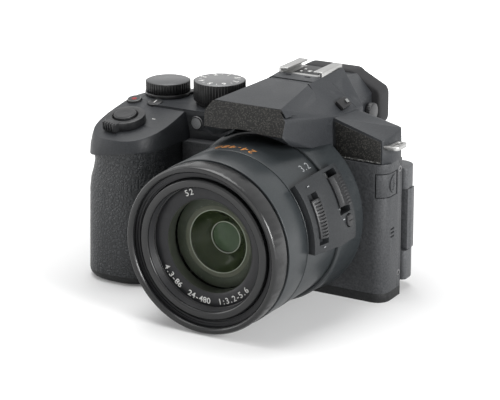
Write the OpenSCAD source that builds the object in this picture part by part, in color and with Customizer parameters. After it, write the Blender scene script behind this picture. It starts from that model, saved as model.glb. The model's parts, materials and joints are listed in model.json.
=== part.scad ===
// Bridge camera with a fixed superzoom lens, pop-up flash, viewfinder and swing-out monitor.
// Millimetres. X to the right seen from the front of the lens's own axis, Y to the back, Z up.
// The origin is the mouth of the tripod socket, under the lens axis.

/* [Body] */
// Lens axis to the right side wall
side_x = 48.8; // [46:0.1:52]
// Tripod axis to the front face
front_d = 10; // [9:0.5:13]
// Tripod axis to the rear wall behind the monitor
back_d = 9.2; // [8.5:0.1:12]
// Tripod axis to the rear face of the control panel
panel_d = 18; // [17:0.5:22]
// Left edge of the monitor bay, measured from the lens axis
bay_x = 28; // [26:0.5:32]
// Thickness of the bottom cover
base_t = 4; // [3.5:0.1:5]
// Wall of the front and rear covers
wall = 2; // [1.6:0.1:2.4]
// Plane where front and rear covers meet
split_y = 2; // [1:0.5:4]
// Height of the seam under the top cover, right side
seam_z = 60.8; // [58:0.2:64]
// Radius of the front right corner
corner_r = 6; // [5:0.5:9]
// Height of the top deck
deck_z = 72; // [70:0.5:76]
// Height of the right shoulder at its outer edge
shoulder_z = 72.4; // [70:0.2:75]

/* [Grip] */
// Centre of the grip in X
grip_x = -64.5; // [-68:0.5:-62]
// Half width of the grip
grip_a = 19.5; // [18:0.25:22]
// Centre of the grip in Y
grip_y = -13.5; // [-16:0.5:-12]
// Flare of the grip at its foot
grip_flare = 1; // [0:0.1:2]
// Half depth of the grip
grip_b = 31.5; // [29:0.25:34]
// Squareness of the grip section
grip_n = 2.9; // [2.2:0.1:4]
// Rounding of the grip's lower edge
grip_foot = 4; // [3:0.25:5]
// Depth of the waist under the cap's lip
grip_waist = 2.4; // [1:0.1:3]
// Thickness of the rubber skin
skin_t = 1.2; // [1:0.1:1.8]
// Slope of the shutter deck, rise over run
deck_slope = 0.2; // [0.1:0.01:0.25]
// Y where the shutter deck starts to fall
deck_break = -5; // [-8:0.5:0]

/* [Lens] */
// Clearance of the barrel above the base plane
lens_lift = 0.3; // [0.1:0.1:3]
// Reach of the lens in front of the tripod axis
lens_reach = 77; // [74:0.5:82]
// Radius of the filter thread bore
filter_r = 26; // [22:0.1:30]
// Depth of the filter thread bore
filter_l = 4.5; // [3:0.1:6]
// Wall of the zoom barrel round the filter thread
zoom_wall = 3.7; // [3:0.1:5]
// Travel of the zoom barrel
zoom_travel = 38; // [30:1:40]
// Room between the zoom barrel and the fixed barrel
zoom_room = 3.5; // [2.5:0.1:5]
// Wall of the fixed barrel
barrel_wall = 2.5; // [2:0.1:4]
// Distance of the barrel's seam in front of the tripod axis
barrel_seam = 52.4; // [50:0.2:56]
// Step from the fixed barrel in to the front ring
ring_step = 0.4; // [0:0.1:1]
// Depth of the front ring
ring_l = 9.1; // [7:0.1:11]
// Width of the front ring's rim
ring_rim = 2.9; // [2.4:0.1:4]
// Rise of the flange at the body above the barrel
flange_rise = 1.8; // [1.2:0.1:4]
// Front of the flange, measured from the tripod axis
flange_front = 27; // [22:0.5:30]
// Rim between the filter thread and the front lens element
glass_rim = 6.2; // [4:0.1:9]

/* [Side pod] */
// Height of the control pod above the barrel
pod_rise = 6.3; // [5:0.1:9]
// Height of the pod's front edge above the barrel
pod_lip = 3; // [1.5:0.1:4]
// Lower edge of the pod, degrees above the lens axis
pod_a0 = -4; // [-8:0.5:0]
// Upper edge of the pod, degrees above the lens axis
pod_a1 = 41; // [38:0.5:48]

/* [Hump] */
// Half width of the hump's front face at its top edge
hump_w = 15.7; // [14:0.1:17]
// Height of the hump's front top edge
hump_z = 87.7; // [86:0.1:89]
// Reach of the hump in front of the tripod axis
hump_reach = 43; // [40:0.5:46]
// Height of the arch above the lens barrel at the hump's front
arch_rise = 5.9; // [4:0.1:8]
// Height of the parting plane under the flash lid
flash_z = 84.5; // [84:0.1:85.5]
// Height of the viewfinder axis
finder_z = 75; // [74:0.2:76.5]
// Radius of the viewfinder tunnel
finder_r = 10.4; // [9:0.1:11]
// Back of the viewfinder housing
finder_back = 31; // [29:0.5:34]
// Depth of the eyecup
eyecup_l = 9.1; // [7:0.1:11]

/* [Controls] */
// Radius of the control dial
dial_r = 10; // [8:0.1:11]
// Radius of the mode dial
mode_r = 11.5; // [10:0.1:12]
// Radius of the shutter button
shutter_r = 5; // [4:0.1:5.2]
// Outer radius of the zoom lever ring
lever_r = 8.7; // [8:0.1:9.5]
// Radius of the small top buttons
button_r = 3.2; // [2.8:0.1:3.6]

/* [Monitor] */
// Height of the monitor's lower edge
lcd_z0 = 4.6; // [4.2:0.1:7]
// Height of the monitor panel
lcd_h = 50; // [46:0.5:52]
// Thickness of the monitor panel
lcd_t = 11; // [10:0.1:12]
// Radius of the panel's outer back edge
lcd_round = 6; // [5:0.1:6.5]

/* [Fits] */
// Running gap round moving covers and buttons
gap = 0.3; // [0.25:0.05:0.4]
// Radial clearance of pins and stems
pin_gap = 0.05; // [0.03:0.01:0.08]

/* [Hidden] */
$fn = 48;
front_y = -front_d;
// Radii of the lens, from the filter thread outwards
zoom_r = filter_r + zoom_wall;
barrel_bore = zoom_r + zoom_room;
barrel_r = barrel_bore + barrel_wall;
ring_r = barrel_r - ring_step;
ring_bore = ring_r - ring_rim;
flange_r = barrel_r + flange_rise;
flange_foot = 1.2;
pod_r = barrel_r + pod_rise;
arch_r = barrel_r + arch_rise;
glass_r = filter_r - glass_rim;
tube_wall = 2.5;
tube_r = zoom_r + 0.3;
lens_z = barrel_r + lens_lift;
corner_x = side_x - corner_r;
corner_y = front_y + corner_r;
seam_left_x = -57;
seam_left_z = seam_z - 1.5;
seam_slope = 0.17;
far = 120;
deck_tilt = atan(deck_slope);
loft_n = 44;
cap_rise = 16;
cap_lip = 0.8;
cap_in = [3.2, 4, 2.2];
shoulder_x = 24;
crease_z = 77.8;
roof_z = 89.8;
roof_w = 10;
roof_y = -5;
shoe_y0 = 5.5;
shoe_l = 18;
shoe_w = 10.5;
shoe_z = 88.5;
shoe_t = 0.9;
shoe_slot = 2.1;
shoe_gap = 6.3;
flash_y = -2;
flash_axis = 86.3;
knuckle_r = 3.3;
knuckle_w = 9.7;
flash_front = 38.9;
pocket_z = 79.3;
window_z = 80.2;
pin_r = 1;
lcd_y0 = back_d + 0.4;
lcd_x0 = -bay_x + 1;
hinge_x = side_x - 2.5;
hinge_y = lcd_y0 + 4.9;
hinge_z0 = 18;
hinge_z1 = 45;
hinge_r = 3;
lcd_pin_r = 1.2;
well = [[-75, -29], [-57, 3]];
battery_h = 44;
card = [[-55.4, -24], [-53.2, 0]];
card_h = 32;
door_x0 = -76;
door_x1 = -50.6;
door_y0 = -30;
door_y1 = 4;
door_t = 2.2;
door_hinge_r = 1.1;
shutter_pos = [-67.7, -27];
record_pos = [-76.6, -7];
fn_pos = [-65.8, -6.9];
dial_pos = [-68.5, 8];
mode_pos = [-40.5, 6];
dial_top = deck_z + 6.4;
mode_top = deck_z + 10.4;
stem_r = 3;
power_a = 30;
stem_l = 7;
switch_angle = 26;
pad_pos = [-44, 26];
play_pos = [-36.5, 46];
lock_pos = [-50, 50];
tripod_r = 2.6;
tripod_l = 5.2;
rod_r = 1;
rod_d = tube_r - 6;
// Lens cells: front and rear of each, the room for the iris and its opening
zoom_cell = [23, 31];
focus_cell = [8, 13];
cell_hole = 12;
iris_r = 5;
iris_t = 1;
sensor = [14, 11, 1.6];
plate_t = 1.5;
cavity = [[-44, 43], [8, 57]];
cavity_front = front_y + 3;
screw_r = 1.6;
side_screws = [[split_y + 1.6, 56.4], [split_y + 1.6, 10.3]];
base_screws = [[-34, 13], [34, 3], [-34, -3], [20, -6]];
flap_z0 = 46.5;
flap_z1 = 56.5;
flap_t = 1.5;
flap_tail = 4;
flap_turn = 77;
jack_r = 3;
jack_front = corner_r - flap_t - 1.7;
// Corners of the hump's right facet, and the flash slider's place on it
facet_a = [roof_w, roof_y, roof_z];
facet_b = [shoulder_x, roof_y, crease_z];
facet_d = [shoulder_x + 2.5, back_d + 3, crease_z + 0.6];
slider_pos = facet_a + 0.385 * (facet_b - facet_a) + 0.398 * (facet_d - facet_a);
facet_normal = cross(facet_b - facet_a, facet_d - facet_a);
slider_dir = facet_normal / norm(facet_normal);

body_heights = [base_t, 8, 14, 22, 32, 40, 45, 49, 53, 57, 62];
board_y = 4;
board_t = 1.2;
hump_floor = seam_z - 1;
finder_front = flash_y + knuckle_r + 1.9;
dioptre = [shoulder_x - 1.1, finder_back - 7, finder_z - 2.5];
// Strap lugs: how far each goes in and stands out, its width and thickness
lug_in = 4;
lug_out = 4.4;
lug_w = 9.6;
lug_t = 1.6;
right_lug = [side_x, -3.2, deck_z - 4.6];
left_lug = [grip_x - grip_a + 2.5, 5, deck_z - 8.8];
lamp = [-42.5, 66.6];
insert_r = 4.6;
flange_clear = 0.4;
ledge_x = [-47, -20];
ledge_d = 5;
ledge_z = 50;
// Lens: spigots of the fixed rings, the sliding barrel and the name ring's seat
spigot_r = (barrel_r + barrel_bore) / 2;
ring_back = lens_reach - ring_l;
groove = 0.8;
guide_l = 9;
zoom_front = lens_reach - 1.4;
zoom_back = ring_back - guide_l - zoom_travel - 0.9;
seat_z = zoom_front - 0.6 - filter_l;
seat_r = filter_r - 0.6;
seat_l = 1.2;
// Pod: its front edge, the ridge behind its sloped front and the places of its controls
pod_front = barrel_seam - 0.6;
pod_ridge = barrel_seam - 17;
pod_seat = pod_r - 4.6;
lever_w = 5;
lever_a = [5, 28];
switch_w = 8;
switch_half = 9;
pod_play = 4;
pod_lever_z = barrel_seam - 8.8;
pod_switch_z = flange_front - 1;
pod_button_a = 8;
pod_button_r = 2.6;
// Eyecup: half widths at its sides and top, and its reach above and below the finder
eyecup_w = 25.3;
eyecup_top = 15;
eyecup_up = 12.8;
eyecup_down = 12;
eyecup_side = 2.5;
eyecup_round = 5;
window = [[-13, -7.5], [13, 8]];
latch_x = door_x0 + 5;
latch_y0 = -19;
latch_y1 = -7;
slider_stem = 0.8;
slider_travel = 1.2;
// Chamfer of the rear right corner that lets the monitor's edge swing past
relief = 4;
side_screw_r = 1.4;
slit_y = [-4.4, -1.2];
slit_z = 28;

// Seam under the top cover, seen from the front
seam_line = [[-far, seam_left_z - seam_slope * (far + seam_left_x)], [seam_left_x, seam_left_z],
             [shoulder_x - 4, seam_z], [far, seam_z]];

// Points on an arc about c, from angle a0 to a1
function arc(c, r, a0, a1, n = 6) =
    [for (i = [0:n]) [c[0] + r * cos(a0 + (a1 - a0) * i / n), c[1] + r * sin(a0 + (a1 - a0) * i / n)]];

// Rectangle from lo to hi with one radius per corner, starting at the lower left
function round_box(lo, hi, r) = concat(
    arc([lo[0] + r[0], lo[1] + r[0]], r[0], 180, 270),
    arc([hi[0] - r[1], lo[1] + r[1]], r[1], 270, 360),
    arc([hi[0] - r[2], hi[1] - r[2]], r[2], 0, 90),
    arc([lo[0] + r[3], hi[1] - r[3]], r[3], 90, 180));

function sgn_pow(v, p) = sign(v) * pow(abs(v), p);
function squircle(c, a, b, t) =
    [c[0] + a * sgn_pow(cos(t), 2 / grip_n), c[1] + b * sgn_pow(sin(t), 2 / grip_n)];

// How far the grip draws in at height z: rounded foot and waist under the lip
function foot_in(z) = z >= grip_foot ? 0 : grip_foot - sqrt(pow(grip_foot, 2) - pow(grip_foot - z, 2));
function waist_in(z) = grip_waist * exp(-pow((z - 53) / 7, 2));
function flare_out(z) = grip_flare * max(0, 1 - z / 36);
function grip_in(z) = foot_in(z) + waist_in(z) - flare_out(z);
function grip_at(t, z, inset) =
    squircle([grip_x, grip_y], grip_a - grip_in(z) - inset, grip_b - grip_in(z) - inset, t);
function cap_u(z) = pow(max(0, (z - deck_z + cap_rise) / cap_rise), 2);
function cap_at(t, z) = squircle(
    [grip_x, grip_y + cap_in[2] * cap_u(z)],
    grip_a - cap_lip - cap_in[0] * cap_u(z),
    grip_b - cap_in[1] * cap_u(z), t);
function deck_at(y) = deck_z + deck_slope * min(0, y - deck_break);

// Closed solid through a list of equal rings of points, lowest ring first
module loft(rings) {
    n = len(rings[0]);
    m = len(rings);
    polyhedron(
        points = [for (ring = rings) for (p = ring) p],
        faces = concat(
            [[for (j = [0:n - 1]) j]],
            [[for (j = [n - 1:-1:0]) (m - 1) * n + j]],
            [for (k = [0:m - 2]) for (j = [0:n - 1])
                [k * n + j, (k + 1) * n + j, (k + 1) * n + (j + 1) % n]],
            [for (k = [0:m - 2]) for (j = [0:n - 1])
                [k * n + j, (k + 1) * n + (j + 1) % n, k * n + (j + 1) % n]]));
}

module box(lo, hi) {
    translate(lo) cube(hi - lo);
}

// Extrude a plan outline between two heights
module slab(points, z0, z1) {
    translate([0, 0, z0]) linear_extrude(z1 - z0) polygon(points);
}

// Extrude an outline drawn in X and Z from y0 back to y1
module along_y(points, y0, y1) {
    translate([0, y1, 0]) rotate([90, 0, 0]) linear_extrude(y1 - y0) polygon(points);
}

// Extrude an outline drawn in Y and Z from x0 to x1
module along_x(points, x0, x1) {
    translate([x0, 0, 0]) rotate([90, 0, 90]) linear_extrude(x1 - x0) polygon(points);
}

// Frame of the lens: its axis is Z, pointing forward from the tripod axis
module on_lens() {
    translate([0, 0, lens_z]) rotate([90, 0, 0]) children();
}

// Solid of revolution about the lens axis, from points of radius and forward distance
module turned(points) {
    on_lens() rotate_extrude($fn = 96) polygon(points);
}

// Sector of revolution about the lens axis between two angles above the horizontal
module sector(points, a0, a1) {
    on_lens() rotate([0, 0, a0]) rotate_extrude(angle = a1 - a0, $fn = 96) polygon(points);
}

// Frame on the shutter deck: Z is the deck's normal
module on_deck(pos) {
    translate([pos[0], pos[1], deck_at(pos[1])]) rotate([deck_tilt, 0, 0]) children();
}

// Frame on the rear panel: Z points to the back
module on_panel(pos) {
    translate([pos[0], panel_d, pos[1]]) rotate([-90, 0, 0]) children();
}

// Knurled disc outline with count teeth
module knurl(r, depth, count) {
    polygon([for (i = [0:2 * count - 1])
        (r - depth * (i % 2)) * [cos(180 * i / count), sin(180 * i / count)]]);
}

module mirrored_x() {
    children();
    mirror([1, 0, 0]) children();
}

module above_seam() {
    along_y(concat(seam_line, [[far, far], [-far, far]]), -far, far);
}

module below_seam() {
    along_y(concat(seam_line, [[far, -far], [-far, -far]]), -far, far);
}

// Plan outline of the middle and right of the body between y0 and y1
module core_slab(y0, y1, z0, z1) {
    slab(concat([[grip_x, y1], [grip_x, y0]],
                y0 < front_y + 0.01 ? arc([corner_x, corner_y], corner_r, 270, 360) : [[side_x, y0]],
                [[side_x, y1]]), z0, z1);
}

// Rear corner relief that lets the monitor's edge swing past
module rear_relief() {
    slab([[side_x - relief, back_d + 1], [side_x + 1, back_d + 1], [side_x + 1, back_d - relief - 1],
          [side_x, back_d - relief], [side_x - relief, back_d]], base_t - far, seam_z + far);
}

module grip_solid(heights, inset) {
    loft([for (z = heights) [for (i = [0:loft_n - 1])
        let (p = grip_at(360 * i / loft_n, z, inset)) [p[0], p[1], z]]]);
}

module lens_hole() {
    on_lens() translate([0, 0, -split_y - 1]) cylinder(r = tube_r + pin_gap, h = far, $fn = 96);
}

module battery_well() {
    box([well[0][0] - gap, well[0][1] - gap, -1],
        [well[1][0] + gap, well[1][1] + gap, base_t + battery_h + gap]);
    box([card[0][0] - gap, card[0][1] - gap, -1],
        [card[1][0] + gap, card[1][1] + gap, base_t + card_h + gap]);
}

// Plan outline round the front right corner, from an inner to an outer radius
function corner_band(inner, outer, turn, tail) = concat(
    arc([corner_x, corner_y], outer, -turn, 0, 10), [[corner_x + outer, corner_y + tail]],
    [[corner_x + inner, corner_y + tail]], arc([corner_x, corner_y], inner, 0, -turn, 10));

module flap_pocket() {
    slab(corner_band(corner_r - flap_t - gap, corner_r + 3, flap_turn + 4, flap_tail + 1.3),
         flap_z0 - gap, flap_z1 + gap);
}

module screw_seats(extra) {
    for (s = side_screws)
        translate([side_x - 1.4, s[0], s[1]]) rotate([0, 90, 0])
            cylinder(r = side_screw_r + extra, h = 1.4 + extra);
}

module front_cover() color("#232426") {
    difference() {
        union() {
            difference() {
                core_slab(front_y, split_y, base_t, far);
                above_seam();
            }
            finger_ledge();
        }
        lens_hole();
        flange_seat();
        battery_well();
        box([cavity[0][0], cavity_front, cavity[1][0]], [cavity[0][1], split_y + 1, cavity[1][1]]);
        flap_pocket();
        insert_hole();
        on_jack() cylinder(r = jack_r + pin_gap, h = 20, center = true);
        for (i = [0:2])
            translate([0, 0, slit_z + 1.7 * i]) box([side_x - wall, slit_y[0], 0], [side_x + 1, slit_y[1], 0.8]);
    }
}

// Ledge under the lamp, which bridges the grip and the lens above the fingers
module finger_ledge() {
    along_y([[ledge_x[0], ledge_z], [ledge_x[1], ledge_z], [ledge_x[1], seam_z - 0.6], [ledge_x[0], seam_left_z]],
            front_y - ledge_d, front_y + 1);
}

// Room for the lens flange in front of the body
module flange_seat() {
    on_lens() translate([0, 0, front_d]) cylinder(r = flange_r + flange_foot + pin_gap, h = far, $fn = 96);
}

module rear_cover() color("#232426") {
    difference() {
        union() {
            difference() {
                union() {
                    core_slab(split_y, back_d, base_t, far);
                    slab(round_box([grip_x, split_y], [-bay_x, panel_d], [0.01, 0.01, 2, 0.01]), base_t, far);
                }
                above_seam();
            }
            intersection() {
                grip_solid(body_heights, 0);
                box([-far, split_y, base_t], [seam_left_x, far, far]);
                difference() {
                    box([-far, -far, 0], [far, far, far]);
                    above_seam();
                }
            }
        }
        difference() {
            box([cavity[0][0], split_y - 1, cavity[1][0]], [cavity[0][1], back_d - wall, cavity[1][1]]);
            for (x = [cavity[0][0] + 6, cavity[0][1] - 6], z = [cavity[1][0] + 4, cavity[1][1] - 4])
                translate([x, board_y + board_t, z]) rotate([-90, 0, 0]) cylinder(r = 2, h = 10);
        }
        battery_well();
        insert_hole();
        rear_relief();
        screw_seats(pin_gap);
        on_panel(pad_pos) translate([0, 0, -2.6]) cylinder(r = 10 + gap, h = 4);
        on_panel(pad_pos) translate([0, 0, -8]) cylinder(r = 2 + pin_gap, h = 8);
        on_panel(play_pos) translate([0, 0, -3.2]) cylinder(r = 3 + gap, h = 4);
        on_panel(lock_pos) translate([-3, -1, -0.8]) thumb_outline(gap, 2);
    }
}

module top_cover() color("#2a2b2d") {
    difference() {
        union() {
            difference() {
                core_slab(front_y, back_d, seam_z - 12, deck_z);
                box([shoulder_x - 2, -far, 0], [far, far, far]);
            }
            slab(round_box([grip_x, front_y + 2], [-bay_x, panel_d], [0.01, 0.01, 2, 0.01]), seam_z - 12, deck_z);
            grip_cap();
            shoulder();
            hump_front();
            hump_rear();
            finder_housing();
        }
        below_seam();
        lens_hole();
        turned([[0, front_d], [flange_r + flange_foot + pin_gap, front_d],
                [flange_r + flange_foot + pin_gap, hump_reach - 19], [arch_r - 1.6, hump_reach - 9],
                [arch_r, hump_reach - 3], [arch_r + 2, hump_reach + 9], [0, hump_reach + 9]]);
        flash_space();
        translate([0, finder_front, finder_z]) rotate([-90, 0, 0]) cylinder(r = finder_r, h = far);
        box([-shoe_w - 0.1, shoe_y0 - 0.1, shoe_z], [shoe_w + 0.1, far, far]);
        on_deck(shutter_pos) translate([0, 0, -7.6]) cylinder(r = 2.2 + pin_gap, h = 9);
        on_deck(record_pos) translate([0, 0, -3.4]) cylinder(r = button_r + gap, h = 9);
        on_deck(fn_pos) translate([0, 0, -3.4]) cylinder(r = button_r + gap, h = 9);
        for (p = [dial_pos, mode_pos])
            translate([p[0], p[1], deck_z - stem_l]) cylinder(r = stem_r + pin_gap, h = far);
        translate([dioptre[0] - 6, dioptre[1], dioptre[2]]) rotate([0, 90, 0]) cylinder(r = 1.5 + pin_gap, h = 9);
        lug_places() lug_blank(pin_gap);
        on_facet() translate([0, slider_travel / 2, -1.6])
            cylinder(r = slider_stem + slider_travel / 2 + gap, h = 8);
        translate([lamp[0], front_y - 1, lamp[1]]) rotate([-90, 0, 0]) cylinder(r = 3.1, h = 2.2);
    }
}

module grip_cap() {
    intersection() {
        loft([for (z = concat([seam_z - 12], [for (d = [cap_rise, 12, 8, 5, 2.5, -0.5]) deck_z - d]))
            [for (i = [0:loft_n - 1]) let (p = cap_at(360 * i / loft_n, z)) [p[0], p[1], z]]]);
        along_x([[-far, deck_at(-far)], [deck_break, deck_z], [far, deck_z], [far, 0], [-far, 0]], -far, far);
    }
}

// Right shoulder: a faceted block that falls away from the hump
module shoulder() {
    hull() {
        for (y = [front_y + 1.4, back_d]) {
            translate([shoulder_x - 4, y, seam_z]) cube(0.01);
            translate([shoulder_x - 4, y, crease_z]) cube(0.01);
            translate([shoulder_x, y, crease_z]) cube(0.01);
        }
        translate([side_x - 1.4, front_y + 3.4, shoulder_z - 1.2]) cube(0.01);
        translate([side_x - 2.6, front_y + 1.4, shoulder_z - 1.2]) cube(0.01);
        translate([side_x - 1.2, back_d - 3, shoulder_z + 1]) cube(0.01);
        translate([side_x - 4, back_d - 0.01, shoulder_z + 0.6]) cube(0.01);
        translate([side_x - 0.01, front_y + 6, shoulder_z - 4]) cube(0.01);
        translate([side_x - 0.01, back_d - 5, shoulder_z - 4]) cube(0.01);
        translate([side_x - 0.01, front_y + 6, seam_z]) cube(0.01);
        translate([side_x - 0.01, back_d - 5, seam_z]) cube(0.01);
        translate([side_x - 2.6, front_y + 1.4, seam_z]) cube(0.01);
        translate([side_x - 4, back_d - 0.01, seam_z]) cube(0.01);
    }
}

// Front half of the hump, from its plain front face to the flash hinge
module hump_front() {
    mirrored_x_hull([
        [hump_w + 2.8, -hump_reach, crease_z - 0.5], [hump_w + 3.2, -hump_reach + 1.8, flash_z - 1],
        [hump_w, -hump_reach + 3, hump_z], facet_a, facet_b,
        [shoulder_x, roof_y, hump_floor], [hump_w + 2.8, front_y - 10, hump_floor]]);
}

// Rear half of the hump, which carries the hot shoe
module hump_rear() {
    mirrored_x_hull([
        facet_a, facet_b, facet_d, [shoulder_x, roof_y, hump_floor + 1],
        [roof_w + 1.4, shoe_y0 + shoe_l - 1, roof_z + 1], [shoulder_x, back_d + 8, hump_floor + 2]]);
}

// Housing round the viewfinder tunnel, up to the eyecup
module finder_housing() {
    mirrored_x_hull([
        [shoulder_x + 1.5, back_d - 1, crease_z + 1], [shoulder_x + 1.5, back_d - 1, hump_floor + 2],
        [roof_w + 4, back_d + 6, roof_z - 2], [14, finder_back, finder_z + 11.5],
        [21, finder_back, finder_z + 4], [21, finder_back, finder_z - 7],
        [17, finder_back, finder_z - 11.5], [roof_w + 4, back_d - 1, roof_z - 2]]);
}

// Convex solid through points given for the right half
module mirrored_x_hull(points) {
    hull() mirrored_x() for (p = points) translate(p - [0.005, 0.005, 0.005]) cube(0.01);
}

// Room for the lid, its knuckle, its pin and the flash window under it
module flash_space() {
    box([-far, -flash_front - gap, flash_z], [far, flash_y - knuckle_r - gap, far]);
    box([-knuckle_w - gap, -flash_front, flash_z], [knuckle_w + gap, flash_y, far]);
    translate([-knuckle_w - gap, flash_y, flash_axis]) rotate([0, 90, 0])
        cylinder(r = knuckle_r + gap, h = 2 * (knuckle_w + gap));
    box([-13, -flash_front + gap, pocket_z], [13, -20, flash_z + 1]);
    flash_axle(pin_r + pin_gap / 2);
}

module flash_axle(r) {
    translate([-knuckle_w - 3, flash_y, flash_axis]) rotate([0, 90, 0]) cylinder(r = r, h = 2 * knuckle_w + 6);
}

module flash_lid() color("#303134") {
    difference() {
        union() {
            intersection() {
                hump_front();
                union() {
                    box([-far, -flash_front, flash_z], [far, flash_y - knuckle_r - 2 * gap, far]);
                    box([-knuckle_w, -flash_front, flash_z], [knuckle_w, flash_y, far]);
                }
            }
            translate([-knuckle_w, flash_y, flash_axis]) rotate([0, 90, 0])
                cylinder(r = knuckle_r, h = 2 * knuckle_w);
        }
        flash_axle(pin_r + pin_gap);
        mirrored_x() lid_relief();
    }
}

// Room behind the lid's back corners, so that they pass the roof as the lid swings up
module lid_relief() {
    top = roof_z - flash_axis;
    back = knuckle_r + gap;
    run = top * (shoulder_x - roof_w) / (roof_z - crease_z) + roof_w - knuckle_w;
    translate([knuckle_w, flash_y, flash_axis]) rotate([0, 90, 0])
        cylinder(r1 = norm([back, top]) + 2 * gap, r2 = back, h = 1.25 * run);
}

module flash_window() color("#d8dcdd") {
    box([-11, -flash_front + 1.6, window_z], [11, -flash_front + 8, flash_z]);
}

module base_plate() color("#1d1e20") {
    difference() {
        union() {
            slab(concat([[grip_x, panel_d], [grip_x, front_y]],
                        arc([corner_x, corner_y], corner_r, 270, 360),
                        [[side_x, back_d - relief], [side_x - relief, back_d], [-bay_x, back_d],
                         [-bay_x, panel_d]]), 0, base_t);
            grip_solid([for (k = [0:6]) base_t * pow(k / 6, 1.6)], 0);
        }
        slab(round_box([door_x0 - gap, door_y0 - gap], [door_x1 + gap, door_y1 + gap], [3, 0.4, 0.4, 3]),
             -1, door_t + gap);
        battery_well();
        insert_hole();
        for (s = base_screws) translate([s[0], s[1], -1]) cylinder(r = screw_r + pin_gap, h = 2.4);
    }
}

module insert_hole() {
    translate([0, 0, -1]) cylinder(r = insert_r + pin_gap / 2, h = base_t + 3);
}

module grip_skin() color("#1b1b1c") {
    difference() {
        loft([for (z = body_heights) concat(
            [for (i = [8:42]) let (p = grip_at(360 * i / loft_n, z, 0)) [p[0], p[1], z]],
            [for (i = [42:-1:8]) let (p = grip_at(360 * i / loft_n, z, skin_t)) [p[0], p[1], z]])]);
        box([-far, split_y, -1], [far, far, far]);
        box([grip_x, front_y, -1], [far, far, far]);
        translate([0, 0, -pin_gap]) above_seam();
    }
}

// Hard core of the grip, which carries the rubber skin and holds the battery
module grip_core() color("#232426") {
    difference() {
        grip_solid(body_heights, skin_t + pin_gap);
        box([-far, split_y, -1], [far, far, far]);
        box([grip_x, front_y, -1], [far, far, far]);
        finger_ledge();
        battery_well();
        above_seam();
    }
}

module thumb_outline(extra, h) {
    linear_extrude(h) polygon(round_box([-7 - extra, -7 - extra], [7 + extra, 11 + extra], [5, 5, 5, 5]));
}

module thumb_pad() color("#1b1b1c") {
    on_panel(lock_pos) translate([-3, -1, -0.8]) thumb_outline(0, 1.6);
}

module shoulder_panel() color("#3a3835") {
    along_y([[shoulder_x + 1.2, seam_z + 1.2], [side_x - 3, seam_z + 1.2], [side_x - 3, shoulder_z - 2],
             [shoulder_x + 0.6, crease_z - 1.4]], front_y + 0.9, front_y + 1.4);
}

module af_lamp() color("#8d9094") {
    translate([lamp[0], front_y - 0.6, lamp[1]]) rotate([-90, 0, 0]) cylinder(r = 3.05, h = 1.8);
}

// Flange round the barrel, cut flat underneath so that the camera stands on its base
module lens_flange() color("#202123") {
    difference() {
        turned([[barrel_r + pin_gap, front_d], [flange_r + flange_foot, front_d], [flange_r + 0.5, front_d + 3],
                [flange_r, front_d + 7], [flange_r, flange_front - 1], [flange_r - 0.7, flange_front],
                [barrel_r + pin_gap, flange_front]]);
        box([-far, -far, -far], [far, far, flange_clear]);
    }
}

module lens_barrel() color("#2b2c2e") {
    turned([[tube_r - tube_wall, 0], [tube_r, 0], [tube_r, front_d], [barrel_r, front_d],
            [barrel_r, barrel_seam - 0.2], [spigot_r + pin_gap, barrel_seam - 0.2],
            [spigot_r + pin_gap, barrel_seam - 3], [barrel_bore, barrel_seam - 3],
            [barrel_bore, front_d + 2], [tube_r - tube_wall, front_d + 2]]);
}

module barrel_collar() color("#303133") {
    turned([[barrel_bore, barrel_seam - 3], [spigot_r, barrel_seam - 3], [spigot_r, barrel_seam + 0.2],
            [barrel_r - 0.1, barrel_seam + 0.2], [barrel_r - 0.1, ring_back - groove],
            [spigot_r + pin_gap, ring_back - groove], [spigot_r + pin_gap, ring_back - 3],
            [barrel_bore, ring_back - 3], [barrel_bore, ring_back - 4], [zoom_r + pin_gap, ring_back - 4],
            [zoom_r + pin_gap, ring_back - guide_l], [barrel_bore, ring_back - guide_l]]);
}

module front_ring() color("#26272a") {
    turned([[barrel_bore, ring_back - 3], [spigot_r, ring_back - 3], [spigot_r, ring_back], [ring_r - 0.2, ring_back],
            [ring_r, ring_back + 1], [ring_r, lens_reach - 1.2], [ring_r - 0.6, lens_reach],
            [ring_bore + 0.8, lens_reach], [ring_bore, lens_reach - 1], [ring_bore, lens_reach - 2.4],
            [barrel_bore, lens_reach - 3]]);
}

module zoom_barrel() color("#232427") {
    turned([[zoom_r - 2.2, zoom_back], [zoom_r, zoom_back], [zoom_r, zoom_front - 0.8], [zoom_r - 0.8, zoom_front],
            [filter_r + 0.6, zoom_front], [filter_r, zoom_front - 0.6], [filter_r, seat_z], [seat_r, seat_z],
            [seat_r, seat_z - seat_l], [glass_r, seat_z - seat_l], [glass_r, seat_z - 9], [zoom_r - 2.2, seat_z - 12]]);
}

module name_ring() color("#1c1d1f") {
    turned([[glass_r, seat_z - seat_l], [seat_r - pin_gap, seat_z - seat_l], [seat_r - pin_gap, seat_z - 0.1],
            [glass_r + 1.6, seat_z - 0.3], [glass_r, seat_z - seat_l + 0.3]]);
}

// Convex front lens: a spherical cap on a flat disc
module front_element() color("#5d6b5c", 0.6) {
    back = seat_z - seat_l - 6.2;
    rise = 5;
    sphere_r = (pow(glass_r, 2) + pow(rise, 2)) / (2 * rise);
    intersection() {
        on_lens() translate([0, 0, back]) cylinder(r = glass_r - pin_gap, h = far, $fn = 96);
        on_lens() translate([0, 0, back + rise + 1 - sphere_r]) sphere(r = sphere_r, $fn = 96);
    }
}

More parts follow.
